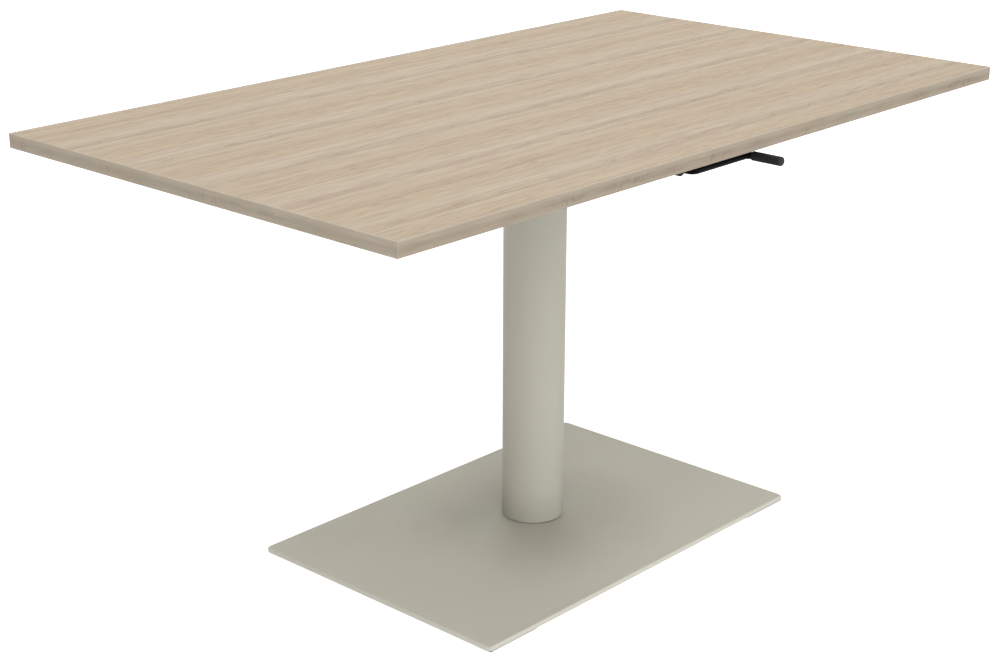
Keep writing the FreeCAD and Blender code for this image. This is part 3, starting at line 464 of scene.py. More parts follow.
# %% Grain group
def grain_group():
    """Along the grain is X and across it Y."""
    group, given, result = shader_group("Long grain", {
        "Vector": (0, 0, 0), "Pale": srgb(209, 193, 170), "Brown": srgb(182, 161, 138),
        "Honey": srgb(206, 184, 149), "Fleck": srgb(150, 131, 106), "Bands": 1.0})
    place = given["Vector"]

    sway = noise(group, place, (0.5, 0.1, 0.4))
    waver = noise(group, place, (0.06, 0.02, 0.1))
    bent = nudge(group, nudge(group, apart(group, place)["Y"], sway, 0.007), waver, 0.006)
    turn = calc(group, "FRACT", calc(group, "DIVIDE", bent, -REPEAT))
    pale, honey = band_ramp(group, turn)

    line = noise(group, place, (0.3, 0.004, 0.1))
    thread = noise(group, place, (0.34, 0.0032, 0.1), move=(0.2, 0.1, 0))
    streak = noise(group, place, (0.06, 0.0065, 0.05), turn=1)
    fibre = noise(group, place, (0.028, 0.0032, 0.03), turn=4, detail=3, roughness=0.6,
                  distortion=0.3)
    pores = noise(group, place, (0.016, 0.0009, 0.01), turn=2, detail=3, roughness=0.65)

    light = calc(group, "MULTIPLY_ADD", minus(group, pale, 0.5), given["Bands"], 0.5)
    for source, amount in ((line, 1.1), (streak, 1.1), (fibre, 0.9), (pores, 0.8)):
        light = nudge(group, light, source, amount)
    light = calc(group, "ADD", light, between(group, thread, 0.56, 0.7, -0.03, 0.4), clamp=True)
    body = mixed(group, light, given["Brown"], given["Pale"])
    warm = times(group, honey, between(group, fibre, 0.38, 0.6))
    body = mixed(group, warm, body, given["Honey"])

    fleck = lattice(group, place, FLECKS, 26 * MM, 8 * MM)
    stroke = noise(group, place, (0.018, 0.003, 0.02), turn=22)
    marks = times(group, fleck, between(group, stroke, 0.42, 0.64))
    knots = times(group, lattice(group, place, KNOTS, 17 * MM, 5 * MM),
                  between(group, fibre, 0.35, 0.6, 1.0, 0.4))
    dark = times(group, calc(group, "MAXIMUM", marks, knots), 0.5)
    dark = times(group, dark, given["Bands"])

    return give(group, result, Color=mixed(group, dark, body, given["Fleck"]),
                Roughness=calc(group, "MULTIPLY_ADD", streak, -0.08, 0.6),
                Height=minus(group, pores, times(group, dark, 0.5)))


grain = grain_group()
print(grain.name, "repeats every", round(REPEAT / MM), "mm")

# %% [markdown]
# ## The edging decor
# The edge band shows the same oak in a calmer print. It is cloudy along its length and a
# little darker at mid height, and its upper half is painted lighter as a painted highlight.
# Short slanting strokes gather in figures that come back every 862 mm. On the short edges
# the colours are painted a little lighter, as painted light on those sides. The band's pale
# core shows as a thin line where two bands meet, and a painted highlight runs as a pale line
# along the trimmed upper edge.

# %% Edging group
EDGE_REPEAT = 862 * MM
FIGURES = ((438, 70), (640, 46), (860, 15), (320, 32))    # middle and half length, millimetres


def edging_group():
    """Along the band is X, up the band is Y, measured from the band's middle."""
    group, given, result = shader_group("Edging grain", {
        "Vector": (0, 0, 0), "Pale": srgb(191, 178, 160), "Brown": srgb(165, 151, 133),
        "Rose": srgb(187, 168, 147), "Stroke": srgb(142, 129, 112), "Figures": 1.0})
    place = given["Vector"]
    along, height, _ = apart(group, place)
    clouds = noise(group, place, (0.09, 0.02, 0.1), detail=3, roughness=0.6)
    streak = noise(group, place, (0.07, 0.0028, 0.05), detail=3, roughness=0.6, distortion=0.6)
    blush = noise(group, place, (0.16, 0.1, 0.1), move=(0.4, 0.2, 0), detail=1)
    off_middle = calc(group, "ABSOLUTE", calc(group, "ADD", height, 1 * MM))
    middle = between(group, off_middle, 1 * MM, 7.5 * MM, 1.0, 0.0)
    light = calc(group, "MULTIPLY_ADD", middle, -0.32, 0.7)
    for source, amount in ((clouds, 1.0), (streak, 1.5)):
        light = nudge(group, light, source, amount)
    # Painted highlight: the band's upper half is painted lighter.
    light = calc(group, "ADD", light, between(group, height, 0.0, 11 * MM, 0.0, 0.2), clamp=True)
    body = mixed(group, light, given["Brown"], given["Pale"])
    body = mixed(group, between(group, blush, 0.5, 0.72, 0.0, 0.6), body, given["Rose"])

    tile = times(group, calc(group, "FRACT", calc(group, "DIVIDE", along, EDGE_REPEAT)),
                 EDGE_REPEAT)
    figure = 0.0
    for centre, half in FIGURES:
        reach = calc(group, "ABSOLUTE", minus(group, tile, centre * MM))
        figure = calc(group, "MAXIMUM", figure,
                      between(group, reach, 0.3 * half * MM, half * MM, 1.0, 0.0))
    stroke = noise(group, place, (0.013, 0.0055, 0.02), turn=50, distortion=0.4)
    marks = times(group, figure, between(group, stroke, 0.40, 0.62))
    marks = times(group, times(group, marks, middle), given["Figures"])
    colour = mixed(group, times(group, marks, 0.5), body, given["Stroke"])
    return give(group, result, Color=colour, Height=streak,
                Roughness=calc(group, "MULTIPLY_ADD", clouds, -0.1, 0.6))


edging = edging_group()
print(edging.name, "repeats every", round(EDGE_REPEAT / MM), "mm")

# %% [markdown]
# ## Materials
# Each finish is one material: a group for what changes over the surface, and a Principled
# shader with the values that stay the same. All patterns read Object coordinates. Every
# object sits at the origin, so those are the table's own coordinates.

# %% Material maker
BUMP_DEPTH = 0.2 * MM


def material(name, group, inputs, place=object_place, bump=0.12, **constant):
    """New material whose shader reads a group; place makes the group's coordinates."""
    made = bpy.data.materials.new(name)
    tree = emptied(made)
    surface = put(tree, "ShaderNodeGroup", {"Vector": place(tree), **inputs},
                  node_tree=group).outputs
    bumps = put(tree, "ShaderNodeBump", {"Strength": bump, "Distance": BUMP_DEPTH,
                                         "Height": surface["Height"]})
    shader = put(tree, "ShaderNodeBsdfPrincipled",
                 {"Base Color": surface["Color"], "Roughness": surface["Roughness"],
                  "Normal": bumps.outputs[0]})
    for socket, setting in constant.items():
        shader.inputs[socket.replace("_", " ")].default_value = setting
    put(tree, "ShaderNodeOutputMaterial", {"Surface": shader.outputs[0]})
    return made


def base_colour(tree):
    """The shader's Base Color and the socket that feeds it."""
    base = tree.nodes["Principled BSDF"].inputs["Base Color"]
    return base, base.links[0].from_socket


def overlay(tree, share, colour):
    """Lay a colour over what feeds the shader."""
    base, feed = base_colour(tree)
    tree.links.new(mixed(tree, share, feed, colour), base)


def coated(name, colour, roughness, texture, spread=0.04, bump=0.12, **constant):
    """Material of one colour with the fine coat; texture is its grain in metres."""
    return material(name, coat, {"Color": colour, "Spread": spread, "Texture Size": texture,
                                 "Roughness": roughness}, bump=bump, **constant)


print("material maker ready")

# %% [markdown]
# ## Coats and mouldings
# The column and the foot are powder coated in pebble grey, the frame under the board is
# black, and the lever is lacquered with a moulded grip. They share the coat group and
# differ in its numbers. The foot's rim and the grip's end get a painted highlight: a mask
# lays a second, paler colour over the coat there.

# %% Pebble grey coat
# Paler colour of the painted highlight along the foot's rim.
RIM_HIGHLIGHT_COLOUR = srgb(231, 229, 216)
pebble = coated("pebble_grey_powder_coat", srgb(213, 212, 199), 0.6, 2.2 * MM, spread=0.09,
                bump=0.1, Specular_IOR_Level=0.3)
tree = pebble.node_tree
base, feed = base_colour(tree)
# Painted shade: the coat is darkened round the joint of the column and the foot.
joint = put(tree, "ShaderNodeGroup",
            {"Vector": object_place(tree), "Color": feed, "Radius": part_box("outer_column")[1].y,
             "Level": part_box("outer_column")[0].z}, node_tree=joint_shade)
tree.links.new(joint.outputs["Color"], base)
rim_x, rim_y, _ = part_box("base_cover")[1]
sides = apart(tree, object_place(tree))
inwards = calc(tree, "MINIMUM", minus(tree, rim_x, calc(tree, "ABSOLUTE", sides["X"])),
               minus(tree, rim_y, calc(tree, "ABSOLUTE", sides["Y"])))
# Painted highlight along the foot's rim, broken into patches by a noise.
highlight_patches = noise(tree, object_place(tree), (0.03, 0.03, 0.002), detail=4, roughness=0.7)
rim_highlight = times(tree, between(tree, inwards, 0.8 * MM, 2.4 * MM, 1.0, 0.0),
               between(tree, highlight_patches, 0.1, 0.6, 0.75, 1.0))
overlay(tree, rim_highlight, RIM_HIGHLIGHT_COLOUR)
print(pebble.name, "rim at", round(rim_x / MM), "and", round(rim_y / MM), "mm")

# %% Black coats and plastics
black_paint = coated("black_powder_coat", srgb(40, 40, 42), 0.55, 0.9 * MM, spread=0.3, bump=0.2)
lever_black = coated("black_lever_lacquer", srgb(9, 9, 10), 0.5, 0.8 * MM, spread=0.3,
                     Specular_IOR_Level=0.04)
acetal = coated("black_acetal", srgb(19, 19, 20), 0.45, 0.6 * MM, spread=0.2,
                Specular_IOR_Level=0.12)
glide_black = coated("hard_glide", srgb(28, 28, 28), 0.6, 0.7 * MM, spread=0.2, bump=0.25)
grip_black = coated("moulded_grip", srgb(33, 33, 34), 0.6, 0.5 * MM, spread=0.2, bump=0.3,
                    Specular_IOR_Level=0.14)
tree = grip_black.node_tree
# Painted highlight: the grip's end face is painted a lighter grey.
from_tip = minus(tree, apart(tree, object_place(tree))["Y"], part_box("lever_grip")[0].y)
lit_end = between(tree, from_tip, 2.6 * MM, 3.8 * MM, 1.0, 0.0)
overlay(tree, lit_end, srgb(52, 52, 53))
print("coats and plastics ready")

# %% Oak finishes
band_boxes = [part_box("edge_band_" + side) for side in ("front", "rear", "left", "right")]
board_low, board_high = [Vector(map(pick, zip(*ends)))
                         for pick, ends in zip((min, max), zip(*band_boxes))]
board_middle = (board_low.z + board_high.z) / 2


def oak(name, group, order, move, **colours):
    """Oak decor; order says which axes run along, across and through the grain."""
    def turned(tree):
        axes = apart(tree, object_place(tree))
        return calc_vector(tree, "ADD", together(tree, *[axes[axis] for axis in order]), move)
    return material(name, group, colours, place=turned, Specular_IOR_Level=0.1)


def show_core_and_highlight(made):
    """Show the band's pale core at the board's corners, and a painted highlight along the trimmed
    upper edge.
    """
    tree = made.node_tree
    axes = apart(tree, object_place(tree))
    core = 1.0
    for axis, corner in (("X", board_high.x), ("Y", board_high.y)):
        distance = minus(tree, corner, calc(tree, "ABSOLUTE", axes[axis]))
        core = times(tree, core, between(tree, distance, 0.6 * MM, 1.4 * MM, 1.0, 0.0))
    below = minus(tree, board_high.z, axes["Z"])
    # Pale core at the corners, and a painted highlight along the upper edge.
    trimmed = calc(tree, "MAXIMUM", times(tree, core, 0.25),
                   between(tree, below, 0.5 * MM, 1.8 * MM, 0.55, 0.0))
    overlay(tree, trimmed, srgb(221, 208, 188))


oak_face = oak("light_oak_face", grain, "XYZ", (0.70, -0.40, 0))
oak_long_edge = oak("light_oak_long_edge", edging, "XZY", (0.7, -board_middle, 0))
# The short edges use lighter colours than the long edges, as painted light on those sides.
lit_oak_short_edge = oak("light_oak_short_edge", edging, "YZX", (0.49, -board_middle, 0.1),
                     Figures=0.6, Pale=srgb(202, 189, 171), Brown=srgb(177, 165, 147),
                     Rose=srgb(196, 179, 158))
for made in (oak_long_edge, lit_oak_short_edge):
    show_core_and_highlight(made)
print("oak finishes ready, the edging's middle is at", round(board_middle / MM), "mm")

# %% [markdown]
# ## Bare metals
# In the column and the foot are oiled steel, plates with mill scale, zinc-plated screws
# and a chromed rod. They use the coat group too, with a metallic shader: coarse clouds
# stand for the oil or the scale, and the chrome has almost none.

# %% Metals
def metal(name, colour, roughness, texture, spread=0.15, bump=0.1):
    """Coated material with a metallic shader."""
    return coated(name, colour, roughness, texture, spread, bump, Metallic=1.0)


bare_steel = metal("oiled_steel", srgb(150, 149, 145), 0.42, 5 * MM, spread=0.6, bump=0.2)
scaled_steel = metal("scaled_plate", srgb(92, 92, 94), 0.6, 6 * MM, spread=0.9, bump=0.3)
zinc = metal("zinc_plating", srgb(196, 197, 194), 0.34, 1.2 * MM)
chrome = metal("hard_chrome", srgb(222, 222, 222), 0.08, 6 * MM, spread=0.02, bump=0.01)
print("metals ready")

# %% [markdown]
# ## Finished copies of the solids
# A solid comes as loose flat triangles. On a copy the corners are merged, flat faces
# become whole again, and a narrow bevel eases every sharp edge, because no real sheet or
# moulding ends in a knife edge. The copy stands for the solid and moves with its body.

# %% Which finish and which body
FINISH_OF = {
    "pebble_grey_coat": pebble, "black_coat": black_paint, "lever_steel": lever_black,
    "bare_steel": bare_steel, "ballast_steel": scaled_steel, "zinc_steel": zinc,
    "chromed_rod": chrome, "guide_plastic": acetal, "grip_plastic": grip_black,
    "glide_plastic": glide_black, "light_oak_decor": oak_face, "light_oak_edging": oak_long_edge,
}
SLOT_OF = {part["node"]: part["material_slot"] for part in frame["record"]["subparts"]}
BODY_OF = {node: body for body, nodes in frame["record"]["behaviour"]["bodies"].items()
           for node in nodes}
print(len(FINISH_OF), "finishes for", len(SLOT_OF), "solids")

# %% Finish a solid
def piece(name, mesh, body, finish, *nodes, slot=None):
    """Show a mesh as a piece that rides on a body and stands for some solids."""
    mesh.materials.clear()
    mesh.materials.append(finish)
    made = in_scene(name, mesh)
    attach(made, body)
    if nodes:
        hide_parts(*nodes)
    return made


def baked(made):
    """Plain mesh of an object with its modifiers applied."""
    bpy.context.view_layer.update()
    evaluated = made.evaluated_get(bpy.context.evaluated_depsgraph_get())
    mesh = bpy.data.meshes.new_from_object(evaluated)
    bpy.data.objects.remove(made)
    return mesh


def merged(mesh, angle=0.4):
    """The same surface with its corners merged and its flat faces whole."""
    shape = bmesh.new()
    shape.from_mesh(mesh)
    bmesh.ops.remove_doubles(shape, verts=shape.verts, dist=0.001 * MM)
    bmesh.ops.dissolve_limit(shape, angle_limit=math.radians(angle), verts=shape.verts,
                             edges=shape.edges, delimit={"NORMAL"})
    return shape


def evenly_shaded(mesh, angle=50):
    """Smooth shading in which a large flat face stays flat and its eased edges turn the light."""
    mesh.shade_smooth()
    mesh.set_sharp_from_angle(angle=math.radians(angle))
    draft = in_scene("draft", mesh)
    weighted = draft.modifiers.new("Even shading", "WEIGHTED_NORMAL")
    weighted.mode = "FACE_AREA"
    weighted.weight = 90
    weighted.keep_sharp = True
    return baked(draft)


def finished(node, edge=0.5 * MM, steps=2, finish=None):
    """Show a solid as a copy of itself with eased edges."""
    shape = merged(frame["nodes"][node].data)
    mesh = bpy.data.meshes.new(node)
    shape.to_mesh(mesh)
    shape.free()
    draft = in_scene("draft", mesh)
    bevel = draft.modifiers.new("Eased edges", "BEVEL")
    bevel.width = edge
    bevel.segments = steps
    bevel.limit_method = "ANGLE"
    bevel.angle_limit = math.radians(35)
    mesh = evenly_shaded(baked(draft))
    finish = finish or FINISH_OF[SLOT_OF[node]]
    return piece(node + "_finished", mesh, BODY_OF[node], finish, node)


print("solids can be finished")

# %% [markdown]
# ## Board, column and foot plate
# The board's edging is trimmed flush, so its corners are almost sharp and get a very
# narrow bevel. Tube and plates get a wider one. The foot rests on soft glide strips with
# a lip near the floor. The lip is made by moving the points of the finished strips.

# %% Board, column and foot plate
for node in ("outer_column", "inner_column", "upper_guide_bush", "base_plate", "base_boss"):
    finished(node)
finished("tabletop_core", edge=0.15 * MM, steps=1)
for node, finish in (("edge_band_front", oak_long_edge), ("edge_band_rear", oak_long_edge),
                     ("edge_band_left", lit_oak_short_edge), ("edge_band_right", lit_oak_short_edge)):
    finished(node, edge=0.15 * MM, steps=1, finish=finish)
LIP, LIP_TOP = 2.6 * MM, 1.2 * MM      # how far out, and up to which height
TUCK = 0.8 * MM                        # how far in above the lip
for name in ("front_left", "front_right", "rear_left", "rear_right"):
    glide = finished("glide_" + name, edge=0.6 * MM)
    middle = sum(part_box("glide_" + name), Vector()) / 2
    for vert in glide.data.vertices:
        for axis in (0, 1):
            if (vert.co[axis] - middle[axis]) * middle[axis] > 0:
                out = LIP if vert.co.z < LIP_TOP else -TUCK
                vert.co[axis] += math.copysign(out, middle[axis])
print("board, column and foot plate finished")

# %% [markdown]
# ## Frame, lever and release
# Under the board are rails, plates and a bent lever, cut, drilled and folded from steel.
# Their solids already have the full shape, so each only gets eased edges and its finish.

# %% Frame, lever and release
for node in ("lever_rod", "lever_grip", "lever_bearing_clip", "lever_bush", "lever_stop_collar",
             "head_plate", "support_rail_front", "support_rail_rear", "end_bar_left",
             "end_bar_right", "release_finger", "release_rocker", "rocker_bracket", "rocker_pin"):
    finished(node, edge=0.3 * MM)
print("frame, lever and release finished")

# %% [markdown]
# ## Geometry Nodes
# Shapes that follow a rule are grown from a tree of Geometry Nodes with named sizes. The
# tree always ends the same way: instances become real mesh and the finish is set. A short
# function gives a draft object its tree and sizes, bakes the result to a plain mesh and
# throws the draft away.

# %% Tree maker and grower
def geometry_tree(name, inputs):
    """Geometry Nodes tree with named inputs; returns the tree and its input sockets."""
    tree = bpy.data.node_groups.new(name, "GeometryNodeTree")
    tree.interface.new_socket("Geometry", in_out="OUTPUT", socket_type="NodeSocketGeometry")
    tree.interface.new_socket("Geometry", in_out="INPUT", socket_type="NodeSocketGeometry")
    for title, start in inputs.items():
        kind = "NodeSocketInt" if isinstance(start, int) else "NodeSocketFloat"
        tree.interface.new_socket(title, in_out="INPUT", socket_type=kind).default_value = start
    tree.interface.new_socket("Material", in_out="INPUT", socket_type="NodeSocketMaterial")
    return tree, put(tree, "NodeGroupInput").outputs


def end_tree(tree, geometry, given):
    """Make instances real, set the finish and close the tree."""
    real = get(tree, "GeometryNodeRealizeInstances", {0: geometry})
    dressed = get(tree, "GeometryNodeSetMaterial",
                  {"Geometry": real, "Material": given["Material"]})
    put(tree, "NodeGroupOutput", {0: dressed})
    return tree


def grown(tree, finish, base=None, **sizes):
    """Plain mesh that a tree grows from its base mesh with these sizes."""
    draft = in_scene("draft", base or bpy.data.meshes.new("seed"))
    growth = draft.modifiers.new(tree.name, "NODES")
    growth.node_group = tree
    sockets = {item.name: item.identifier for item in tree.interface.items_tree
               if item.in_out == "INPUT"}
    growth[sockets["Material"]] = finish
    for title, size in sizes.items():
        growth[sockets[title.replace("_", " ")]] = size
    return baked(draft)


def spots_mesh(spots, edges=()):
    """Mesh of single points, or of points joined by edges."""
    mesh = bpy.data.meshes.new("spots")
    mesh.from_pydata([tuple(spot) for spot in spots], list(edges), [])
    return mesh


print("tree maker ready")

# %% [markdown]
# ## The pressed cover of the foot
# The foot is a sheet pressed over a heavy plate. A flat border runs round it, and inside
# the border a shallow crown with widely rounded corners rises to the column. The rule is
# short: the crown's outline shrinks towards the column while its height grows with a
# power of the distance. So the cover is a grid wrapped round three outlines, which are
# the crown's foot, the top of the rim and the outer edge. Each column of the grid reads
# its own point of the three outlines, and each row says how far in or down it lies.

# %% Cover tree
def outline(tree, given, inset, corner):
    """Rounded rectangle inside the edge as a run of points; the outlines' points match."""
    width, height = [times(tree, minus(tree, given[half], inset), 2.0)
                     for half in ("Half Length", "Half Width")]
    plain = get(tree, "GeometryNodeCurvePrimitiveQuadrilateral",
                {"Width": width, "Height": height})
    eased = get(tree, "GeometryNodeFilletCurve",
                {0: plain, 1: given["Arc Steps"], 2: corner}, mode="POLY")
    return get(tree, "GeometryNodeSubdivideCurve",
               {0: eased, 1: given["Run Steps"]})


def cover_tree():
    """Grid wrapped round the crown's foot, the rim's top and the outer edge."""
    tree, given = geometry_tree("Pressed cover", {
        "Half Length": 0.375, "Half Width": 0.25, "Corner": 0.008, "Border": 0.013,
        "Crown Corner": 0.11, "Crown Rise": 0.0189, "Crown Power": 1.3, "Rim Level": 0.009,
        "Rim Edge": 0.002, "Rim Corner": 0.014, "Foot Level": 0.003, "Hole Radius": 0.044,
        "Arc Steps": 11, "Run Steps": 7, "Crown Rows": 34, "Border Rows": 8, "Edge Rows": 6,
        "Row Crowding": 1.6})
    outlines = [outline(tree, given, inset, corner) for inset, corner in (
        (given["Border"], given["Crown Corner"]), (given["Rim Edge"], given["Rim Corner"]),
        (0.0, given["Corner"]))]
    size = put(tree, "GeometryNodeAttributeDomainSize", {0: outlines[0]}, component="CURVE")
    around = size.outputs["Point Count"]
    row_kinds = ("Crown Rows", "Border Rows", "Edge Rows")
    rows = 2.0                # the hole's edge and the skirt's foot
    for kind in row_kinds:
        rows = calc(tree, "ADD", rows, given[kind])
    grid = get(tree, "GeometryNodeMeshGrid", {"Vertices X": calc(tree, "ADD", around, 1.0),
                                              "Vertices Y": rows})
    index = get(tree, "GeometryNodeInputIndex")
    column = calc(tree, "MODULO", calc(tree, "FLOOR", calc(tree, "DIVIDE", index, rows)), around)
    row = calc(tree, "MODULO", index, rows)
    spot = get(tree, "GeometryNodeInputPosition")
    crown, rim, edge = [
        get(tree, "GeometryNodeSampleIndex", {0: curve, 1: spot, 2: column},
            data_type="FLOAT_VECTOR", domain="POINT") for curve in outlines]

    shares, past = [], row
    for kind in row_kinds:
        shares.append(calc(tree, "DIVIDE", past, given[kind], clamp=True))
        past = minus(tree, past, given[kind])
    crown_share, border_share, edge_share = shares
    crown_left = calc(tree, "POWER", minus(tree, 1.0, crown_share), given["Row Crowding"])
    crown_share = minus(tree, 1.0, crown_left)
    angle = times(tree, edge_share, math.pi / 2)
    skirt = calc(tree, "ADD", past, 0.0, clamp=True)

    start = calc(tree, "DIVIDE", given["Hole Radius"], length(tree, crown))
    share = calc(tree, "MULTIPLY_ADD", crown_share, minus(tree, 1.0, start), start)
    place = stretched(tree, crown, share)
    turned_down = calc(tree, "SINE", angle)
    for inner, outer, done in ((crown, rim, border_share), (rim, edge, turned_down)):
        step = calc_vector(tree, "SUBTRACT", outer, inner)
        place = calc_vector(tree, "ADD", place, stretched(tree, step, done))
    lift = minus(tree, 1.0, calc(tree, "POWER", share, given["Crown Power"]))
    height = calc(tree, "MULTIPLY_ADD", lift, given["Crown Rise"], given["Rim Level"])
    drop = times(tree, minus(tree, 1.0, calc(tree, "COSINE", angle)), given["Rim Edge"])
    depth = minus(tree, given["Rim Level"],
                  calc(tree, "ADD", given["Rim Edge"], given["Foot Level"]))
    height = minus(tree, height, calc(tree, "MULTIPLY_ADD", skirt, depth, drop))
    place = calc_vector(tree, "ADD", place, together(tree, z=height))
    moved = get(tree, "GeometryNodeSetPosition", {0: grid, 2: place})
    closed = get(tree, "GeometryNodeMergeByDistance", {0: moved, 2: 0.01 * MM})
    return end_tree(tree, closed, given)


pressing = cover_tree()
print(pressing.name, "has", len(pressing.nodes), "nodes")

# %% Cover
cover_low, cover_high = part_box("base_cover")
boss_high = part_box("base_boss")[1]
WALL = 2 * MM
HOLE_GAP = 1 * MM
cover_mesh = grown(pressing, pebble, Half_Length=cover_high.x, Half_Width=cover_high.y,
                   Foot_Level=cover_low.z / 2, Hole_Radius=boss_high.x + HOLE_GAP)
shape = bmesh.new()
shape.from_mesh(cover_mesh)
bmesh.ops.recalc_face_normals(shape, faces=shape.faces)
if sum(face.normal.z * face.calc_area() for face in shape.faces) < 0:
    bmesh.ops.reverse_faces(shape, faces=shape.faces)
shape.to_mesh(cover_mesh)
shape.free()
draft = in_scene("draft", cover_mesh)
sheet = draft.modifiers.new("Sheet", "SOLIDIFY")
sheet.thickness = WALL
sheet.offset = -1
sheet.use_even_offset = True
sheet.thickness_clamp = 0.4
cover_mesh = baked(draft)
cover_mesh.shade_smooth()
cover_mesh.set_sharp_from_angle(angle=math.radians(50))
piece("pressed_cover", cover_mesh, "pedestal", pebble, "base_cover")
top = max(vert.co.z for vert in cover_mesh.vertices)
print("cover:", len(cover_mesh.polygons), "faces, top at", round(top / MM, 2), "mm, CAD",
      round(cover_high.z / MM, 2))

# %% [markdown]
# ## Screws and bolts
# Wood screws hold the frame and the lever's clip to the board, and countersunk bolts hold
# the column and the ballast on the foot plate. They are all one rule: a head that is
# drawn out in stages from a disc, a recess cut into it, and a shank. One tree makes any of
# them on a list of spots and gives each its own turn, because no two screws stop alike.

# %% Screw tree
UPPER_DOME = 0.55         # height of the dome's second stage, as a share of the first
UPPER_NARROWING = 0.75
SHANK_TAPER = 0.98
BAR_WIDTH = 0.24          # of the cross recess, as a share of its length


def drawn_out(tree, mesh, chosen, length, narrowing):
    """Extrude a flat face and narrow its new end; returns the mesh and the new end."""
    out = put(tree, "GeometryNodeExtrudeMesh", {0: mesh, 1: chosen, 3: length, 4: False},
              mode="FACES")
    slim = put(tree, "GeometryNodeScaleElements", {0: out.outputs[0], 1: out.outputs["Top"],
                                                   2: narrowing})
    return slim.outputs[0], out.outputs["Top"]


def screw_tree():
    """Screw that hangs head down from each point of the base mesh."""
    tree, given = geometry_tree("Screws", {
        "Head Radius": 0.0045, "Edge": 0.001, "Dome": 0.0009, "Dome Narrowing": 0.86,
        "Neck": 0.0001, "Shank Radius": 0.00225, "Length": 0.013, "Cross Size": 0.0,
        "Hex Size": 0.0, "Recess Depth": 0.0016, "Sides": 28, "Seed": 7})
    disc = put(tree, "GeometryNodeMeshCylinder", {"Vertices": given["Sides"],
                                                  "Radius": given["Head Radius"],
                                                  "Depth": given["Edge"]})
    mesh, top = drawn_out(tree, disc.outputs["Mesh"], disc.outputs["Top"], given["Dome"],
                          given["Dome Narrowing"])
    mesh, top = drawn_out(tree, mesh, top, times(tree, given["Dome"], UPPER_DOME),
                          UPPER_NARROWING)
    narrow = calc(tree, "DIVIDE", given["Shank Radius"], given["Head Radius"])
    mesh, bottom = drawn_out(tree, mesh, disc.outputs["Bottom"], given["Neck"], narrow)
    mesh, bottom = drawn_out(tree, mesh, bottom, given["Length"], SHANK_TAPER)

    half_edge = times(tree, given["Edge"], 0.5)
    crown = calc(tree, "MULTIPLY_ADD", given["Dome"], 1 + UPPER_DOME, half_edge)
    depth = times(tree, given["Recess Depth"], 2.0)
    slot = times(tree, given["Cross Size"], BAR_WIDTH)
    cutters = []
    for x, y in ((given["Cross Size"], slot), (slot, given["Cross Size"])):
        block = get(tree, "GeometryNodeMeshCube", {0: together(tree, x, y, depth)})
        cutters.append(block)
    hexagon = get(tree, "GeometryNodeMeshCylinder", {"Vertices": 6, "Radius": given["Hex Size"],
                                                     "Depth": depth})
    cutters.append(hexagon)
    for cutter in cutters:
        raised = get(tree, "GeometryNodeTransform",
                     {0: cutter, 1: together(tree, z=crown)})
        mesh = get(tree, "GeometryNodeMeshBoolean", {0: mesh, 1: raised}, operation="DIFFERENCE",
                   solver="EXACT")
    turn = put(tree, "FunctionNodeRandomValue", {2: 0.0, 3: math.tau, 8: given["Seed"]},
               data_type="FLOAT").outputs[1]
    facing = get(tree, "FunctionNodeEulerToRotation",
                 {0: together(tree, math.pi, 0.0, turn)})
    screws = get(tree, "GeometryNodeInstanceOnPoints",
                 {"Points": given["Geometry"], "Instance": mesh, "Rotation": facing})
    return end_tree(tree, screws, given)


screw = screw_tree()
print(screw.name, "tree has", len(screw.nodes), "nodes")

# %% Set the screws
def islands(node):
    """Lowest and highest corners of each separate solid in a node."""
    shape = merged(frame["nodes"][node].data)
    waiting = set(shape.verts)
    boxes = []
    while waiting:
        found = [waiting.pop()]
        for vert in found:
            for edge in vert.link_edges:
                other = edge.other_vert(vert)
                if other in waiting:
                    waiting.remove(other)
                    found.append(other)
        places = [vert.co.copy() for vert in found]
        boxes.append((Vector(map(min, zip(*places))), Vector(map(max, zip(*places)))))
    shape.free()
    return sorted(boxes, key=lambda box: tuple(round(part, 4) for part in box[0]))


def set_screws(node, **sizes):
    """Screws where a node has them, each with its head's crown at the solid's lowest point."""
    crown = sizes["Edge"] / 2 + (1 + UPPER_DOME) * sizes["Dome"]
    spots = [Vector(((low.x + high.x) / 2, (low.y + high.y) / 2, low.z + crown))
             for low, high in islands(node)]
    mesh = grown(screw, zinc, base=spots_mesh(spots), **sizes)
    mesh.set_sharp_from_angle(angle=math.radians(30))
    piece(node + "_finished", mesh, BODY_OF[node], zinc, node)
    print(node, len(spots), "pieces,", len(mesh.polygons), "faces")


PAN = {"Cross_Size": 4.6 * MM, "Recess_Depth": 1.5 * MM, "Length": 14 * MM, "Edge": 1.1 * MM,
       "Dome": 1.4 * MM / (1 + UPPER_DOME)}
set_screws("frame_screws", **PAN)
set_screws("clip_screws", Seed=11, **PAN)
SUNK = {"Edge": 0.2 * MM, "Dome": 0.02 * MM, "Dome_Narrowing": 0.98, "Neck": 3.8 * MM}
set_screws("column_bolts", Head_Radius=7.9 * MM, Shank_Radius=4 * MM, Length=30 * MM,
           Hex_Size=2.9 * MM, Recess_Depth=3 * MM, Seed=3, **SUNK)
set_screws("ballast_screws", Head_Radius=6.9 * MM, Shank_Radius=3 * MM, Length=9 * MM,
           Hex_Size=2.3 * MM, Recess_Depth=2.4 * MM, Seed=5, **SUNK)

# %% [markdown]
# ## Weld beads
# The inner column, the rails and the rocker's bracket are welded to the head plate. A
# weld bead is a row of small overlapping ripples along a seam, so a tree walks along the
# seam's line and lays one flattened drop every two millimetres. All the beads are coated
# black together with the plate.

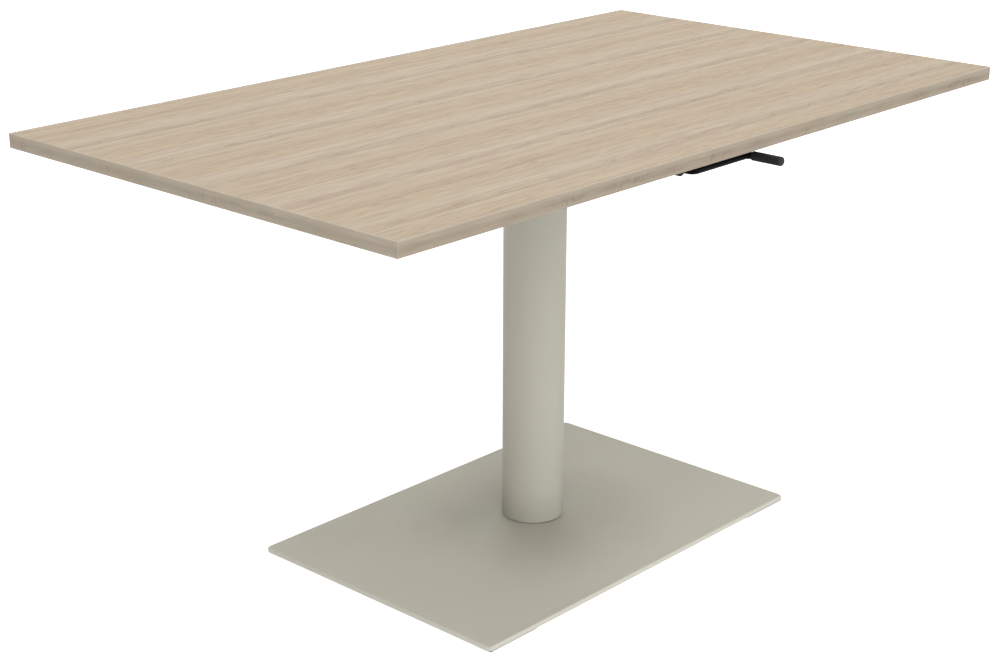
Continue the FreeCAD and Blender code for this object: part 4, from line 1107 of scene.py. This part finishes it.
# %% Bead tree
def bead_tree():
    """Row of flattened drops along each seam of the base mesh."""
    tree, given = geometry_tree("Weld bead", {"Radius": 0.0022, "Pitch": 0.0021,
                                              "Unevenness": 0.1, "Seed": 4})
    seam = get(tree, "GeometryNodeMeshToCurve", {0: given["Geometry"]})
    walk = get(tree, "GeometryNodeResampleCurve", {0: seam, 3: given["Pitch"]},
               mode="LENGTH")
    drop = get(tree, "GeometryNodeMeshUVSphere", {"Segments": 8, "Rings": 5,
                                                  "Radius": given["Radius"]})
    drop = get(tree, "GeometryNodeSetShadeSmooth", {0: drop})
    along = get(tree, "GeometryNodeInputTangent")
    facing = get(tree, "FunctionNodeAlignRotationToVector", {2: along}, axis="X")
    low = minus(tree, 1.0, given["Unevenness"])
    high = calc(tree, "ADD", 1.0, given["Unevenness"])
    size = put(tree, "FunctionNodeRandomValue", {2: low, 3: high, 8: given["Seed"]},
               data_type="FLOAT").outputs[1]
    flat = together(tree, times(tree, size, 0.8), size, times(tree, size, 0.85))
    beads = get(tree, "GeometryNodeInstanceOnPoints", {"Points": walk, "Instance": drop,
                                                       "Rotation": facing, "Scale": flat})
    return end_tree(tree, beads, given)


bead = bead_tree()
print(bead.name, "tree has", len(bead.nodes), "nodes")

# %% Lay the beads
plate_low, plate_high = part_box("head_plate")
tube_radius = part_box("inner_column")[1].y
bracket_low, bracket_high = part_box("rocker_bracket")
TUBE_SEAM = range(-164, 165, 4)              # round the tube, degrees
RAIL_WELDS, HALF_WELD = (-110, -35, 35, 110), 18    # middles and half length, millimetres
seams = [[Vector((tube_radius * math.cos(math.radians(turn)),
                  tube_radius * math.sin(math.radians(turn)), plate_low.z))
          for turn in TUBE_SEAM]]
for side in (-1, 1):
    for place in RAIL_WELDS:
        seams.append([Vector(((place + step) * MM, side * plate_high.y, plate_low.z))
                      for step in (-HALF_WELD, HALF_WELD)])
    y = bracket_low.y if side < 0 else bracket_high.y
    seams.append([Vector((x, y, plate_low.z)) for x in (bracket_low.x + MM, bracket_high.x - MM)])
points, edges = [], []
for seam in seams:
    first = len(points)
    points += seam
    edges += [(first + i, first + i + 1) for i in range(len(seam) - 1)]
beads = grown(bead, black_paint, base=spots_mesh(points, edges))
piece("weld_beads", beads, "lifting_top", black_paint, slot="black_coat")
print("weld beads:", len(seams), "seams,", len(beads.polygons), "faces")

# %% [markdown]
# ## The other solids
# Thirteen inner solids, such as the ballast and the gas spring, hardly ever show an edge.
# They are shown as they come from the CAD model, each with its own finish.

# %% Finishes of the other solids
for name, node in frame["nodes"].items():
    node.data.materials.clear()
    node.data.materials.append(FINISH_OF[SLOT_OF[name]])
print("every solid has its finish")
